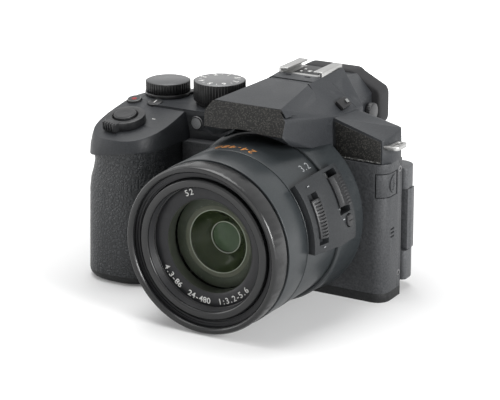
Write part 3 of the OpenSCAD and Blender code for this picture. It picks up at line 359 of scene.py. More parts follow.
class Look:
    """Every finish on the camera, named for where it is used."""

    body = Finish("body_plastic", (0.0275, 0.029, 0.031), (0.059, 0.061, 0.065), 0.5, 0.8, 0.09)
    # Lighter copy of the body plastic: painted reflection of the floor and lamps on the monitor's edge and
    # hinge.
    monitor = Finish("monitor_painted_reflection", (0.045, 0.047, 0.05), (0.09, 0.093, 0.098), 0.45, 0.8, 0.06,
        slot="body_plastic")
    top = Finish("top_plastic", (0.0185, 0.0202, 0.0225), (0.03, 0.0323, 0.036), 0.45, 0.6, 0.035)
    grip = Finish("grip_rubber", (0.0125, 0.014, 0.0155), (0.037, 0.0405, 0.044), 0.46, 1.5, 0.24,
        grain=Grain.LEATHER, specular=0.42)
    base = Finish("base_plastic", (0.01, 0.0105, 0.011), (0.019, 0.0195, 0.02), 0.5, 0.8, 0.08, specular=0.25,
        slot="body_plastic")
    pod = Finish("pod_plastic", (0.015, 0.0165, 0.018), (0.0225, 0.0245, 0.0265), 0.46, 0.7, 0.05,
        slot="top_plastic")
    # Pale specks on the shoulder ledge: painted highlight where the ledge faces up into the light.
    ledge_painted_highlight = Finish("ledge_speckle_painted_highlight", (0.04, 0.04, 0.038), (0.24, 0.24, 0.23), 0.4, 0.7, 0.08,
        grain=Grain.SPECKLE, slot="speckled_panel")
    rim = Finish("grey_rim", (0.16, 0.165, 0.16), (0.24, 0.245, 0.24), 0.35, 0.3, 0.004, slot="ring_black")
    knurl = Finish("dial_knurl", (0.004, 0.004, 0.0042), (0.008, 0.008, 0.0085), 0.36, 0.25, 0.01,
        slot="dial_metal")
    dial_cap = Finish("dial_cap", (0.085, 0.087, 0.089), (0.125, 0.127, 0.13), 0.34, 0.25, 0.01,
        grain=Grain.TURNED, metallic=0.5, slot="dial_metal")
    mode_cap = Finish("mode_cap", (0.15, 0.152, 0.154), (0.22, 0.222, 0.224), 0.34, 0.25, 0.01,
        grain=Grain.TURNED, metallic=0.6, slot="dial_metal")
    lever_metal = Finish("lever_metal", (0.03, 0.03, 0.031), (0.045, 0.045, 0.046), 0.25, 0.3, 0.004,
        slot="dial_metal")
    eyecup = Finish("eyecup_rubber", (0.015, 0.015, 0.016), (0.024, 0.024, 0.025), 0.7, 0.5, 0.02)
    speckle = Finish("speckled_panel", (0.012, 0.0118, 0.0112), (0.058, 0.056, 0.05), 0.5, 0.62, 0.1,
        grain=Grain.SPECKLE, specular=0.25)
    barrel = Finish("barrel_paint", (0.019, 0.0225, 0.0245), (0.0305, 0.035, 0.0375), 0.34, 0.5,
        specular=0.45)
    ring = Finish("front_ring_paint", (0.008, 0.0083, 0.0088), (0.012, 0.0125, 0.013), 0.24, depth=0.006,
        specular=0.45, slot="barrel_paint")
    name_ring = Finish("ring_black", (0.014, 0.0145, 0.016), (0.02, 0.02, 0.022), 0.42, 0.3, 0.006)
    # Near-black: the real baffles and iris, and also painted shade in the screw recesses, the roof slots and
    # the shutter gap.
    baffle_and_shade = Finish("black_and_painted_shade", (0.004, 0.004, 0.0042), (0.006, 0.006, 0.0063), 0.7, 0.3, 0.01,
        specular=0.05, slot="ring_black")
    button = Finish("button_plastic", (0.017, 0.0175, 0.0185), (0.025, 0.0255, 0.027), 0.36, 0.25, 0.006)
    dark_button = Finish("dark_button", (0.012, 0.012, 0.0125), (0.02, 0.02, 0.021), 0.45, 0.25, 0.01,
        slot="button_plastic")
    record = Finish("record_plastic", (0.03, 0.03, 0.031), (0.04, 0.04, 0.042), 0.35, 0.25, 0.004)
    red = Finish("record_red", (0.2, 0.01, 0.012), (0.3, 0.016, 0.018), 0.35, 0.3, 0.004,
        slot="record_plastic")
    metal = Finish("bright_metal", (0.36, 0.36, 0.355), (0.46, 0.46, 0.45), 0.36, 0.3, 0.004, metallic=1.0)
    screw = Finish("screw_metal", (0.16, 0.16, 0.164), (0.24, 0.24, 0.245), 0.4, 0.3, 0.004, metallic=1.0)
    gold = Finish("contact_gold", (0.55, 0.4, 0.16), (0.7, 0.52, 0.22), 0.25, 0.3, 0.003, metallic=1.0,
        slot="bright_metal")
    brass = Finish("brass", (0.5, 0.38, 0.18), (0.62, 0.48, 0.24), 0.35, 0.25, 0.01, grain=Grain.TURNED,
        metallic=1.0)
    lamp = Finish("lamp_plastic", (0.32, 0.325, 0.33), (0.42, 0.425, 0.43), 0.2, 0.5, 0.01, coat=0.6)
    clear = Finish("flash_clear", (0.7, 0.72, 0.72), (0.82, 0.84, 0.84), 0.25, 0.6, 0.02, coat=0.5)
    screen = Finish("screen_glass", (0.004, 0.0045, 0.006), (0.007, 0.0075, 0.01), 0.08, 2.0, 0.001, coat=1.0,
        uneven=0.04)
    sensor = Finish("sensor_parts", (0.05, 0.1, 0.14), (0.09, 0.15, 0.19), 0.12, 0.5, 0.002, coat=0.8)
    plate = Finish("plate_metal", (0.5, 0.51, 0.52), (0.62, 0.63, 0.64), 0.35, depth=0.006, metallic=1.0)
    board = Finish("board", (0.02, 0.12, 0.05), (0.04, 0.18, 0.08), 0.3, 1.2, 0.01)
    cell = Finish("cell_plastic", (0.02, 0.021, 0.022), (0.035, 0.036, 0.037), 0.5, depth=0.01)
    battery = Finish("battery_case", (0.03, 0.031, 0.033), (0.045, 0.046, 0.048), 0.45, depth=0.01)
    card = Finish("card_case", (0.02, 0.05, 0.2), (0.03, 0.07, 0.26), 0.4, depth=0.006)
    print_white = Finish("print_white", (0.72, 0.72, 0.7), (0.8, 0.8, 0.78), 0.5, 0.3, 0.002,
        slot="button_plastic")
    print_grey = Finish("print_grey", (0.28, 0.29, 0.3), (0.34, 0.35, 0.36), 0.5, 0.3, 0.002,
        slot="barrel_paint")
    print_gold = Finish("print_gold", (0.5, 0.2, 0.05), (0.62, 0.27, 0.08), 0.4, 0.3, 0.002,
        slot="barrel_paint")
    lens_glass = Glass("lens_glass", (0.9, 0.92, 0.89), roughness=0.0, index=1.03)
    inner_glass = Finish("inner_coating", (0.02, 0.027, 0.012), (0.028, 0.036, 0.017), 0.2, 4.0, 0.001,
        specular=0.2, uneven=0.04, slot="lens_glass")
    # Greener, brighter core: coating tint with a painted reflection.
    core_glass_and_glint = Finish("core_coating_and_painted_glint", (0.05, 0.074, 0.046), (0.066, 0.096, 0.06), 0.2, 4.0, 0.001,
        specular=0.2, slot="lens_glass")
    # Olive tone on the outer lens and the bore liner: coating tint with painted reflection.
    outer_glass_and_reflection = Finish("outer_coating_and_painted_reflection", (0.042, 0.047, 0.037), (0.054, 0.06, 0.047), 0.3, 4.0, 0.001,
        specular=0.2, uneven=0.04, slot="lens_glass")
    # Pale rims at the lens edges: painted reflection of the light.
    painted_edge_reflection = Finish("painted_edge_reflection", (0.27, 0.285, 0.25), (0.36, 0.375, 0.33), 0.2, 0.5, 0.001,
        slot="lens_glass")
    glass_band = Finish("glass_band", (0.072, 0.074, 0.056), (0.088, 0.09, 0.07), 0.3, 4.0, 0.001,
        specular=0.2, slot="lens_glass")
    finder_glass = Glass("finder_glass", (0.85, 0.88, 0.9), slot="lens_glass")


def take(piece: Piece) -> Piece:
    """Select one object alone and make it active.

    Args:
        piece: The object.

    Returns:
        The same object.
    """
    bpy.ops.object.select_all(action="DESELECT")
    piece.select_set(True)
    bpy.context.view_layer.objects.active = piece
    return piece


def active(name: str) -> Piece:
    """Name the object that an operator just added, and return it alone.

    Args:
        name: The piece's name.

    Returns:
        The object.
    """
    piece = bpy.context.active_object
    piece.name = name
    piece.data.name = name
    return take(piece)


def fresh(name: str, add: Callable, **settings: object) -> Piece:
    """Add one object by an operator, and return it alone.

    Args:
        name: The piece's name.
        add: The operator.
        settings: The operator's settings.

    Returns:
        The new piece.
    """
    bpy.ops.object.select_all(action="DESELECT")
    add(**settings)
    return active(name)


def stand(name: str, data: bpy.types.ID, matrix: Matrix = Matrix()) -> Piece:
    """Put an object with its own data into the scene.

    Args:
        name: The object's name.
        data: Its mesh, lamp or camera.
        matrix: Where it stands.

    Returns:
        The object.
    """
    piece = bpy.data.objects.new(name, data)
    piece.matrix_world = matrix
    bpy.context.scene.collection.objects.link(piece)
    return piece


@contextmanager
def editing(piece: Piece) -> Iterator[None]:
    """Open a piece's mesh, all of it selected, and close it afterwards.

    Args:
        piece: The object.
    """
    take(piece)
    bpy.ops.object.mode_set(mode="EDIT")
    bpy.ops.mesh.select_all(action="SELECT")
    yield
    bpy.ops.object.mode_set(mode="OBJECT")


def pick(piece: Piece, wanted: FaceTest, mode: str) -> None:
    """Open a piece's mesh with the faces selected that a test picks, in a select mode.

    Args:
        piece: The object.
        wanted: Test of a face.
        mode: The select mode, FACE or VERT.
    """
    with editing(piece):
        bpy.ops.mesh.select_mode(type=mode)
        bpy.ops.mesh.select_all(action="DESELECT")
    for face in piece.data.polygons:
        face.select = wanted(face)
    bpy.ops.object.mode_set(mode="EDIT")


def edges(piece: Piece, width: float, segments: int = 2, angle: float = 32.0) -> Piece:
    """Bevel a piece's sharp edges and smooth what is left.

    Args:
        piece: The object to finish.
        width: Width of the bevel in mm.
        segments: Faces across the bevel.
        angle: Least angle of a sharp edge, in degrees.

    Returns:
        The piece.
    """
    take(piece)
    bevel = piece.modifiers.new("edges", "BEVEL")
    bevel.width = width * MM
    bevel.segments = segments
    bevel.limit_method = "ANGLE"
    bevel.angle_limit = math.radians(angle)
    bpy.ops.object.modifier_apply(modifier=bevel.name)
    bpy.ops.object.shade_smooth_by_angle(angle=math.radians(angle))
    return piece


def put(piece: Piece, matrix: Matrix) -> Piece:
    """Move a piece's mesh to its place, leaving the object at the origin.

    Args:
        piece: The object.
        matrix: The move.

    Returns:
        The piece.
    """
    piece.data.transform(matrix)
    piece.data.update()
    return piece


def keep(piece: Piece, body: str, finish: Surface, matrix: Matrix | None = None) -> Piece:
    """Give a new piece its place, its finish and the body that it rides on.

    Args:
        piece: The finished mesh object.
        body: The body that carries it.
        finish: Its surface finish.
        matrix: Where it goes, if it isn't in place yet.

    Returns:
        The piece.
    """
    if matrix is not None:
        put(piece, matrix)
    piece.data.materials.clear()
    piece.data.materials.append(finish.material())
    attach(piece, body)
    LOG.info("%s on %s", piece.name, body)
    return piece


def dress(node: str, finish: Surface, edge: float = 0.25, segments: int = 2, angle: float = 32.0) -> Piece:
    """Stand a bevelled copy of a node in for the node.

    Args:
        node: The node's name.
        finish: Its surface finish.
        edge: Width of the bevel on its sharp edges, in mm.
        segments: Faces across the bevel.
        angle: Least angle of a sharp edge, in degrees.

    Returns:
        The new piece.
    """
    source = frame["nodes"][node]
    piece = stand(f"{node}_finished", source.data.copy())
    with editing(piece):
        bpy.ops.mesh.remove_doubles(threshold=WELD)
        bpy.ops.mesh.dissolve_limited(angle_limit=math.radians(FLAT_DEGREES))
    edges(piece, edge, segments, angle)
    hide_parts(node)
    return keep(piece, source["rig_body"], finish)


def dress_all(*rows: tuple) -> None:
    """Dress several nodes, each row with what dress takes."""
    for row in rows:
        dress(*row)


def block(name: str, size: Point, edge: float) -> Piece:
    """Return a bevelled block about the origin, with lengths in mm."""
    piece = fresh(name, bpy.ops.mesh.primitive_cube_add, size=1.0)
    return edges(put(piece, Matrix.Diagonal((*(s * MM for s in size), 1.0))), edge)


def spun(name: str, profile: Profile, steps: int = 72, smooth: float = 32.0) -> Piece:
    """Turn a profile of radius and height, in mm, about the Z axis.

    Args:
        name: The piece's name.
        profile: Points of radius and height, from one end to the other.
        steps: Faces round the turn.
        smooth: Angle under which edges are smooth, in degrees.

    Returns:
        The turned piece.
    """
    piece = fresh(name, bpy.ops.mesh.primitive_plane_add, size=0.01)
    points = [Vector((radius * MM, 0.0, height * MM)) for radius, height in profile]
    with editing(piece):
        bpy.ops.mesh.merge(type="CENTER")
        bpy.ops.transform.translate(value=points[0])
        for last, here in zip(points, points[1:]):
            bpy.ops.mesh.extrude_region_move(TRANSFORM_OT_translate={"value": here - last})
        bpy.ops.mesh.select_all(action="SELECT")
        bpy.ops.mesh.spin(steps=steps, angle=2 * math.pi, center=(0, 0, 0), axis=(0, 0, 1))
        bpy.ops.mesh.select_all(action="SELECT")
        bpy.ops.mesh.remove_doubles(threshold=WELD)
        bpy.ops.mesh.normals_make_consistent(inside=False)
    bpy.ops.object.shade_smooth_by_angle(angle=math.radians(smooth))
    return piece


def numerals(name: str, text: str, height: float, slant: float = 0.0, weight: float = 0.0,
             spacing: float = 1.0) -> Piece:
    """Thin raised numerals about the origin, facing +Z.

    Args:
        name: The piece's name.
        text: The numerals.
        height: Their height in mm.
        slant: How far they lean.
        weight: How much bolder they are, as a part of their height.
        spacing: How far apart they stand, as a part of the usual.

    Returns:
        The numerals as a mesh.
    """
    piece = fresh(name, bpy.ops.object.text_add)
    piece.data.body = text
    piece.data.size = height * MM / NUMERAL_PART
    piece.data.extrude = NUMERAL_DEPTH * MM
    piece.data.shear = slant
    piece.data.space_character = spacing
    piece.data.offset = weight * height * MM
    piece.data.resolution_u = 4
    piece.data.align_x = "CENTER"
    piece.data.align_y = "CENTER"
    bpy.ops.object.convert(target="MESH")
    return active(name)


def cut(piece: Piece, at: Vector, normal: Vector) -> None:
    """Cut a piece at a plane and keep what lies behind it."""
    with editing(piece):
        bpy.ops.mesh.bisect(plane_co=at, plane_no=normal, use_fill=True, clear_outer=True)


def skin(source: Piece, name: str, wanted: FaceTest, thick: float) -> Piece:
    """Lay a thin skin on the faces of a piece that a test picks.

    Args:
        source: The piece to cover.
        name: The skin's name.
        wanted: Test of a face.
        thick: Thickness of the skin in mm.

    Returns:
        The skin as a closed piece.
    """
    piece = stand(name, source.data.copy())
    pick(piece, lambda face: not wanted(face), "VERT")
    bpy.ops.mesh.delete(type="FACE")
    bpy.ops.object.mode_set(mode="OBJECT")
    solid = piece.modifiers.new("thickness", "SOLIDIFY")
    solid.thickness = thick * MM
    solid.offset = 1.0
    bpy.ops.object.modifier_apply(modifier=solid.name)
    return piece


def even(piece: Piece, wanted: FaceTest, angle: float) -> None:
    """Even out the flat facets of a piece that a test picks, with their outline kept.

    Args:
        piece: The object to smooth.
        wanted: Test of a face.
        angle: Angle under which edges are smooth, in degrees.
    """
    pick(piece, wanted, "FACE")
    bpy.ops.mesh.quads_convert_to_tris()
    bpy.ops.mesh.subdivide(number_cuts=EVEN_CUTS)
    bpy.ops.mesh.select_mode(type="VERT")
    bpy.ops.mesh.select_less()
    bpy.ops.mesh.vertices_smooth(factor=0.5, repeat=EVEN_ROUNDS)
    bpy.ops.object.mode_set(mode="OBJECT")
    bpy.ops.object.shade_smooth_by_angle(angle=math.radians(angle))


def joined(name: str, pieces: Sequence[Piece]) -> Piece:
    """Join pieces that each have their own mesh into one.

    Args:
        name: The whole's name.
        pieces: The pieces.

    Returns:
        The joined piece.
    """
    bpy.ops.object.select_all(action="DESELECT")
    for piece in pieces:
        piece.select_set(True)
    bpy.context.view_layer.objects.active = pieces[0]
    if len(pieces) > 1:
        bpy.ops.object.join()
    return active(name)


def copies(piece: Piece, places: Sequence[Matrix]) -> Piece:
    """Repeat a piece at several places, each copy with its own mesh, as one piece.

    Args:
        piece: The piece, which is used up.
        places: Where the copies go.

    Returns:
        The joined copies.
    """
    name = piece.name
    made = [put(stand(name, piece.data.copy()), matrix) for matrix in places]
    bpy.data.objects.remove(piece)
    return joined(name, made)


def along(axis: Vector, at: Vector, up: Vector = UP) -> Matrix:
    """Frame whose Z points along an axis, with X as level as it can be.

    Args:
        axis: Direction of the frame's Z.
        at: Its origin in metres.
        up: The direction that Y leans to.

    Returns:
        The frame as a matrix.
    """
    z = axis.normalized()
    x = up.cross(z)
    x = x.normalized() if x.length > 1e-6 else SIDE
    matrix = Matrix((x, z.cross(x), z)).transposed().to_4x4()
    matrix.translation = at
    return matrix


def centre(node: str) -> Vector:
    """Return the middle of a node's box, in metres."""
    low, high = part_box(node)
    return (low + high) / 2


def joint(name: str) -> dict:
    """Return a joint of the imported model."""
    return next(j for j in frame["joints"] if j["name"] == name)


def joint_frame(name: str) -> Matrix:
    """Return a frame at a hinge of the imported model, with Z along its axis."""
    return along(Vector(joint(name)["axis"]), Vector(joint(name)["pos_m"]), BACK)


def lens_frame() -> Matrix:
    """Return the frame of the lens: X to the side, Y up and Z forward from the tripod axis."""
    axis = centre("front_ring")
    return Matrix(((1, 0, 0, axis.x), (0, 0, -1, 0), (0, 1, 0, axis.z), (0, 0, 0, 1)))


def turned_by(angle: float) -> Matrix:
    """Return a turn about Z, in degrees."""
    return Matrix.Rotation(math.radians(angle), 4, "Z")


def moved(x: float = 0.0, y: float = 0.0, z: float = 0.0) -> Matrix:
    """Return a shift in millimetres."""
    return Matrix.Translation(Vector((x, y, z)) * MM)


@dataclass
class Studio:
    """Camera at the photograph's angle, soft light and a pale floor."""

    eye: Point = (398.73, -714.36, 306.37)
    back: Point = (0.48175, -0.81807, 0.31413)
    roll: float = -0.304
    lens: float = 144.0
    sensor: float = 36.0
    aim: float = 0.04
    floor_size: float = 12.0
    floor_white: float = 0.82
    glow: tuple[float, float, float, float] = (0.1, 0.4, 0.1, 0.9)
    fill: float = 0.2
    lamps: Sequence[tuple[str, Point, float, float]] = (
        ("key", (-0.2, 0.1, 1.05), 0.8, 10.0),
        ("left", (-1.0, -0.5, 0.45), 0.7, 5.0),
        ("right", (1.1, -0.25, 0.4), 0.5, 16.0))

    def build(self) -> None:
        """Make the camera, the floor, the lamps and the world."""
        self._camera()
        self._floor()
        for lamp in self.lamps:
            self._lamp(*lamp)
        self._world()
        bpy.context.scene.view_settings.view_transform = "Standard"

    def _camera(self) -> None:
        """Make the camera, with the photograph's slight roll."""
        data = bpy.data.cameras.new("view")
        data.lens = self.lens
        data.sensor_width = self.sensor
        data.clip_start = 0.05
        place = along(Vector(self.back), Vector(self.eye) * MM) @ turned_by(self.roll)
        bpy.context.scene.camera = stand("view", data, place)

    def _seen(self, graph: Graph) -> Socket:
        """Return 1 for rays that show a background: from the camera, mirrors and glass.

        Args:
            graph: The graph.

        Returns:
            The factor's socket.
        """
        path = graph.add("LightPath").outputs
        both = graph.math("ADD", path["Is Camera Ray"], path["Is Glossy Ray"])
        return graph.math("MINIMUM", graph.math("ADD", both, path["Is Transmission Ray"]), 1.0)

    def _floor(self) -> None:
        """Make a wide pale floor that keeps the soft shadow."""
        floor = fresh("floor", bpy.ops.mesh.primitive_plane_add, size=self.floor_size)
        material = bpy.data.materials.new("pale_floor")
        material.use_nodes = True
        graph = Graph(material.node_tree)
        coordinates = graph.add("TexCoord").outputs["Object"]
        reach = graph.add("VectorMath", {0: coordinates}, operation="LENGTH").outputs["Value"]
        glow = graph.math("MULTIPLY", self._seen(graph), graph.spread(reach, *self.glow))
        graph.surface({
            "Base Color": (*[self.floor_white] * 3, 1.0), "Roughness": 0.8, "Specular IOR Level": 0.1,
            "Emission Color": (1.0, 1.0, 1.0, 1.0), "Emission Strength": glow})
        floor.data.materials.append(material)

    def _lamp(self, name: str, place: Point, size: float, power: float) -> None:
        """Add one soft square lamp that faces the camera body.

        Args:
            name: The lamp's name.
            place: Where it hangs, in metres.
            size: Its side in metres.
            power: In watts.
        """
        data = bpy.data.lights.new(name, "AREA")
        data.size = size
        data.energy = power
        stand(name, data, along(Vector(place) - self.aim * UP, Vector(place)))

    def _world(self) -> None:
        """Make a white surround that lights softly."""
        world = bpy.data.worlds.new("surround")
        bpy.context.scene.world = world
        world.use_nodes = True
        graph = Graph(world.node_tree)
        strength = graph.spread(self._seen(graph), 0.0, 1.0, self.fill, 1.0)
        shade = graph.add("Background", {"Color": (1.0, 1.0, 1.0, 1.0), "Strength": strength})
        graph.add("OutputWorld", {"Surface": shade.outputs[0]})


@dataclass
class BodyShell:
    """Covers, grip, trim and fasteners."""

    top_angle: float = 30.0
    flank_x: tuple[float, float] = (10.0, 26.0)
    flank_y: float = 8.0
    flank_z: float = 70.0
    trim_back: float = 6.0
    trim_down: float = 14.0
    lamp_r: float = 2.5
    lamp_rim: float = 0.5
    cross: Point = (1.7, 0.36, 0.08)
    cross_turns: Sequence[float] = (20.0, 110.0)
    screw_gap: float = 5.0
    ledge: tuple[float, float] = (0.7, 0.7)
    thumb_r: float = 4.3
    thumb_back: float = 1.6
    rib: Point = (0.4, 0.35, 1.0)
    thread_r: float = 2.62

    def dress(self) -> None:
        """Finish the covers and their trim."""
        dress_all(
            ("front_cover", Look.body, 0.4), ("rear_cover", Look.body, 0.4), ("base_plate", Look.base, 0.3),
            ("grip_core", Look.body, 0.2, 2, 50.0), ("grip_skin", Look.grip, 0.2, 2, 50.0),
            ("thumb_pad", Look.grip, 0.4), ("shoulder_panel", Look.speckle, 0.15),
            ("af_lamp", Look.lamp, 0.4, 3), ("strap_lugs", Look.metal), ("case_screws", Look.screw, 0.15),
            ("tripod_insert", Look.brass, 0.2), ("mic_flap", Look.body), ("mic_jack", Look.metal, 0.15))
        self._top()
        self._lamp_ring()
        self._screw_crosses()
        self._ledge()
        self._flap_grip()
        self._tripod_thread()

    def _on_flank(self, face: Face) -> bool:
        """Tell whether a face of the top cover lies on a flank of the hump."""
        near, far = self.flank_x
        return (abs(face.normal.x) > 0.5 and face.normal.z > -0.1 and face.center.z > self.flank_z * MM
                and near * MM < abs(face.center.x) < far * MM and face.center.y < self.flank_y * MM)

    def _top(self) -> None:
        """Finish the top cover, even out its flanks and lay the speckled trim on its front."""
        cover = dress("top_cover", Look.top, 0.35, angle=self.top_angle)
        even(cover, self._on_flank, self.top_angle)
        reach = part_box("flash_lid")[0].y + self.trim_back * MM
        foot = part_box("hot_shoe")[0].z - self.trim_down * MM
        trim = skin(cover, "hump_trim", lambda face: face.normal.y < -0.75 and face.center.y < reach
                    and face.center.z > foot, 0.1)
        keep(trim, BODY, Look.speckle)

    def _lamp_ring(self) -> None:
        """Add the dark rim of the lamp."""
        inner, outer = self.lamp_r, self.lamp_r + self.lamp_rim
        crown = (inner + 0.25, 0.35)
        profile = [(inner, 0.0), (inner, 0.25), crown, (outer, 0.2), (outer, 0.0), (inner, 0.0)]
        middle = centre("af_lamp")
        place = Vector((middle.x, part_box("af_lamp")[0].y, middle.z))
        keep(spun("lamp_rim", profile), BODY, Look.dark_button, along(-BACK, place))

    def _screw_crosses(self) -> None:
        """Add near-black cross bars on each screw on the side, painted shade for the cross recess."""
        bars = []
        verts = [v.co for v in frame["nodes"]["case_screws"].data.vertices]
        side = max(v.x for v in verts)
        left = [v for v in verts if v.x > side - 0.01 * MM]
        while left:
            group = [v for v in left if abs(v.z - left[0].z) < self.screw_gap * MM]
            left = [v for v in left if v not in group]
            y, z = (sum(getattr(v, key) for v in group) / len(group) for key in "yz")
            for turn in self.cross_turns:
                bar = block("screw_cross", self.cross, 0.03)
                bars.append(put(bar, along(SIDE, Vector((side, y, z))) @ turned_by(turn)))
        # Near-black bars: painted shade in the screw recesses.
        keep(joined("screw_crosses", bars), BODY, Look.baffle_and_shade)

    def _ledge(self) -> None:
        """Add the pale speckled strip under the speckled shoulder panel, a painted highlight on the ledge
        that faces up into the light.
        """
        low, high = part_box("shoulder_panel")
        strip = block("shoulder_ledge", ((high.x - low.x) / MM, *self.ledge), 0.2)
        place = Matrix.Translation(((low.x + high.x) / 2, low.y + 0.15 * MM, low.z - 0.35 * MM))
        keep(strip, BODY, Look.ledge_painted_highlight, place)

    def _flap_grip(self) -> None:
        """Add the ribbed thumb piece of the microphone flap."""
        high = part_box("mic_flap")[1]
        edge = Vector((high.x, high.y - self.thumb_back * MM, centre("mic_flap").z))
        pad = fresh("flap_grip", bpy.ops.mesh.primitive_cylinder_add, vertices=40, radius=self.thumb_r * MM,
                    depth=0.8 * MM)
        put(pad, along(SIDE, edge + Vector((0.1 * MM, 0, 0))))
        cut(pad, edge, BACK)
        edges(pad, 0.25)
        rib = block("flap_rib", self.rib, 0.1)
        rows = [Matrix.Translation(edge) @ moved(0.6, -1.3 - 0.4 * abs(i), 1.0 * i) for i in range(-2, 3)]
        ribs = copies(rib, [row @ Matrix.Diagonal((1, 4.0, 0.45, 1)) for row in rows])
        keep(joined("flap_grip", [pad, ribs]), "mic_flap", Look.body)

    def _tripod_thread(self) -> None:
        """Add the thread of the tripod socket."""
        start, wall = (self.thread_r, 0.2), self.thread_r + 0.08
        turns = [(self.thread_r - 0.3 * (i % 2), 0.3 + 0.32 * i) for i in range(13)]
        thread = spun("tripod_thread", [start, *turns, (wall, 4.4), (wall, 0.2), start], 40)
        keep(thread, BODY, Look.brass)


@dataclass
class LensUnit:
    """Barrel, rings, glass and what shows inside, with heights forward from the tripod axis."""

    face: float = 70.46
    text_r: float = 23.3
    text_h: float = 2.5
    thread: tuple[float, float] = (70.7, 74.8)
    thread_r: float = 26.03
    pitch: float = 0.75
    range_at: tuple[float, float] = (91.0, 47.2)
    aperture_at: tuple[float, float] = (49.0, 33.0)
    seal: Profile = ((29.95, 72.6), (29.95, 73.4), (30.6, 73.4), (30.6, 74.0), (31.5, 74.0), (31.5, 74.5),
                     (32.3, 74.5), (33.1, 73.9), (33.1, 72.6), (29.95, 72.6))
    bore: Profile = ((19.79, 64.3), (19.79, 69.6), (19.65, 69.6), (19.65, 64.3), (19.79, 64.3))
    outer: Profile = ((19.6, 62.6), (17.5, 62.9), (15.2, 63.0), (15.2, 62.4))
    band: Profile = ((15.2, 62.8), (13.3, 62.7), (13.3, 61.6))
    bowl: Profile = ((13.3, 61.7), (11.5, 59.6), (9.2, 57.9), (6.9, 56.9), (6.4, 56.2), (4.0, 55.8),
                     (0.0, 55.7))
    core: Profile = ((6.1, 56.3), (4.0, 56.9), (2.0, 57.2), (0.0, 57.3))
    rims: Sequence[tuple[str, float, float, float]] = (
        ("inner_rim", 13.1, 62.5, 0.3), ("deep_rim", 6.4, 56.6, 0.35))

    def dress(self) -> None:
        """Finish the barrel and the optics."""
        dress_all(
            *((node, Look.barrel, 0.25, 3) for node in ("lens_flange", "lens_barrel", "barrel_collar")),
            ("front_ring", Look.ring, 0.3, 3), ("zoom_barrel", Look.ring, 0.25, 3),
            ("name_ring", Look.name_ring, 0.1), ("front_element", Look.lens_glass, 0.1),
            ("zoom_group", Look.cell, 0.2), ("focus_group", Look.cell, 0.2), ("iris_ring", Look.baffle_and_shade, 0.1),
            ("guide_rods", Look.metal, 0.1), ("image_sensor", Look.sensor, 0.1),
            ("sensor_plate", Look.plate, 0.1), ("main_board", Look.board, 0.1),
            ("zoom_motor", Look.plate, 0.2))
        self._thread()
        self._turned("dust_seal", self.seal, Look.name_ring, BODY)
        self._inside()
        self._ring_marks()
        self._barrel_marks()

    def _turned(self, name: str, profile: Profile, finish: Surface, body: str = "zoom_barrel") -> None:
        """Add a piece turned about the lens axis."""
        keep(spun(name, profile, 96), body, finish, lens_frame())

    def _thread(self) -> None:
        """Add the filter thread inside the rim."""
        start, end = self.thread
        count = int((end - start) / self.pitch * 2)
        ridges = [(self.thread_r - 0.3 * (i % 2), start + self.pitch / 2 * i) for i in range(count + 1)]
        wall = [(self.thread_r + 0.05, ridges[-1][1]), (self.thread_r + 0.05, start), ridges[0]]
        self._turned("filter_thread", ridges + wall, Look.name_ring)

    def _inside(self) -> None:
        """Add the bore and the coated lenses behind the front glass; the olive liner and the brighter core
        are coating tint with painted reflection.
        """
        self._turned("bore_liner", self.bore, Look.outer_glass_and_reflection)
        self._turned("outer_lens", self.outer, Look.outer_glass_and_reflection)
        self._turned("lens_band", self.band, Look.glass_band)
        self._turned("inner_lens", self.bowl, Look.inner_glass)
        # The pale rims are painted reflections at the lens edges.
        for name, r, z, width in self.rims:
            profile = [(r, z), (r, z + 0.25), (r + width, z + 0.25), (r + width, z), (r, z)]
            self._turned(name, profile, Look.painted_edge_reflection)
        self._turned("core_lens", self.core, Look.core_glass_and_glint)

    def _arc(self, name: str, text: str, middle: float, step: float, side: int) -> None:
        """Print numerals round the name ring.

        Args:
            name: The piece's name.
            text: The numerals.
            middle: Angle of the text's middle, in degrees.
            step: Angle from one character to the next, in degrees.
            side: -1 for numerals upright at the ring's foot, 1 at its top.
        """
        marks = []
        for i, char in enumerate(text):
            if char == " ":
                continue
            angle = middle - side * step * (i - (len(text) - 1) / 2)
            mark = numerals(name, char, self.text_h, weight=0.02)
            marks.append(put(mark, turned_by(angle - side * 90) @ moved(0, side * self.text_r, self.face)))
        keep(joined(name, marks), "zoom_barrel", Look.print_white, lens_frame())

    def _ring_marks(self) -> None:
        """Print plain numerals on the name ring."""
        self._arc("ring_numerals", "4.3-86  24-480  1:3.2-5.6", 265.0, 4.5, -1)
        self._arc("ring_size", "52", 112.0, 5.6, 1)

    def _wrapped(self, piece: Piece, radius: float, angle: float, forward: float, along_axis: bool) -> Piece:
        """Wrap a flat mark round the barrel.

        Args:
            piece: The mark, flat about the origin.
            radius: Radius of the surface in mm.
            angle: Angle of its middle above the side, in degrees.
            forward: Distance of its middle in front of the tripod axis, in mm.
            along_axis: True if the text runs to the back, False if it runs round.

        Returns:
            The wrapped mark in place.
        """
        for vertex in piece.data.vertices:
            u, v, w = vertex.co / MM
            run, rise = (v, -u) if along_axis else (u, v)
            turn = math.radians(angle) + run / radius
            out = radius + 0.03 + w
            vertex.co = Vector((out * math.cos(turn), out * math.sin(turn), forward + rise)) * MM
        return put(piece, lens_frame())

    def _barrel_marks(self) -> None:
        """Print the numerals on top of the barrel and beside the pod."""
        low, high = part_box("barrel_collar")
        radius = (high.x - low.x) / 2 / MM + 0.1
        top = numerals("zoom_range", "24-480", 3.9, 0.15, -0.012, 1.2)
        keep(self._wrapped(top, radius, *self.range_at, False), BODY, Look.print_gold)
        side = numerals("aperture", "3.2", 3.2, spacing=1.3)
        keep(self._wrapped(side, radius, *self.aperture_at, True), BODY, Look.print_grey)


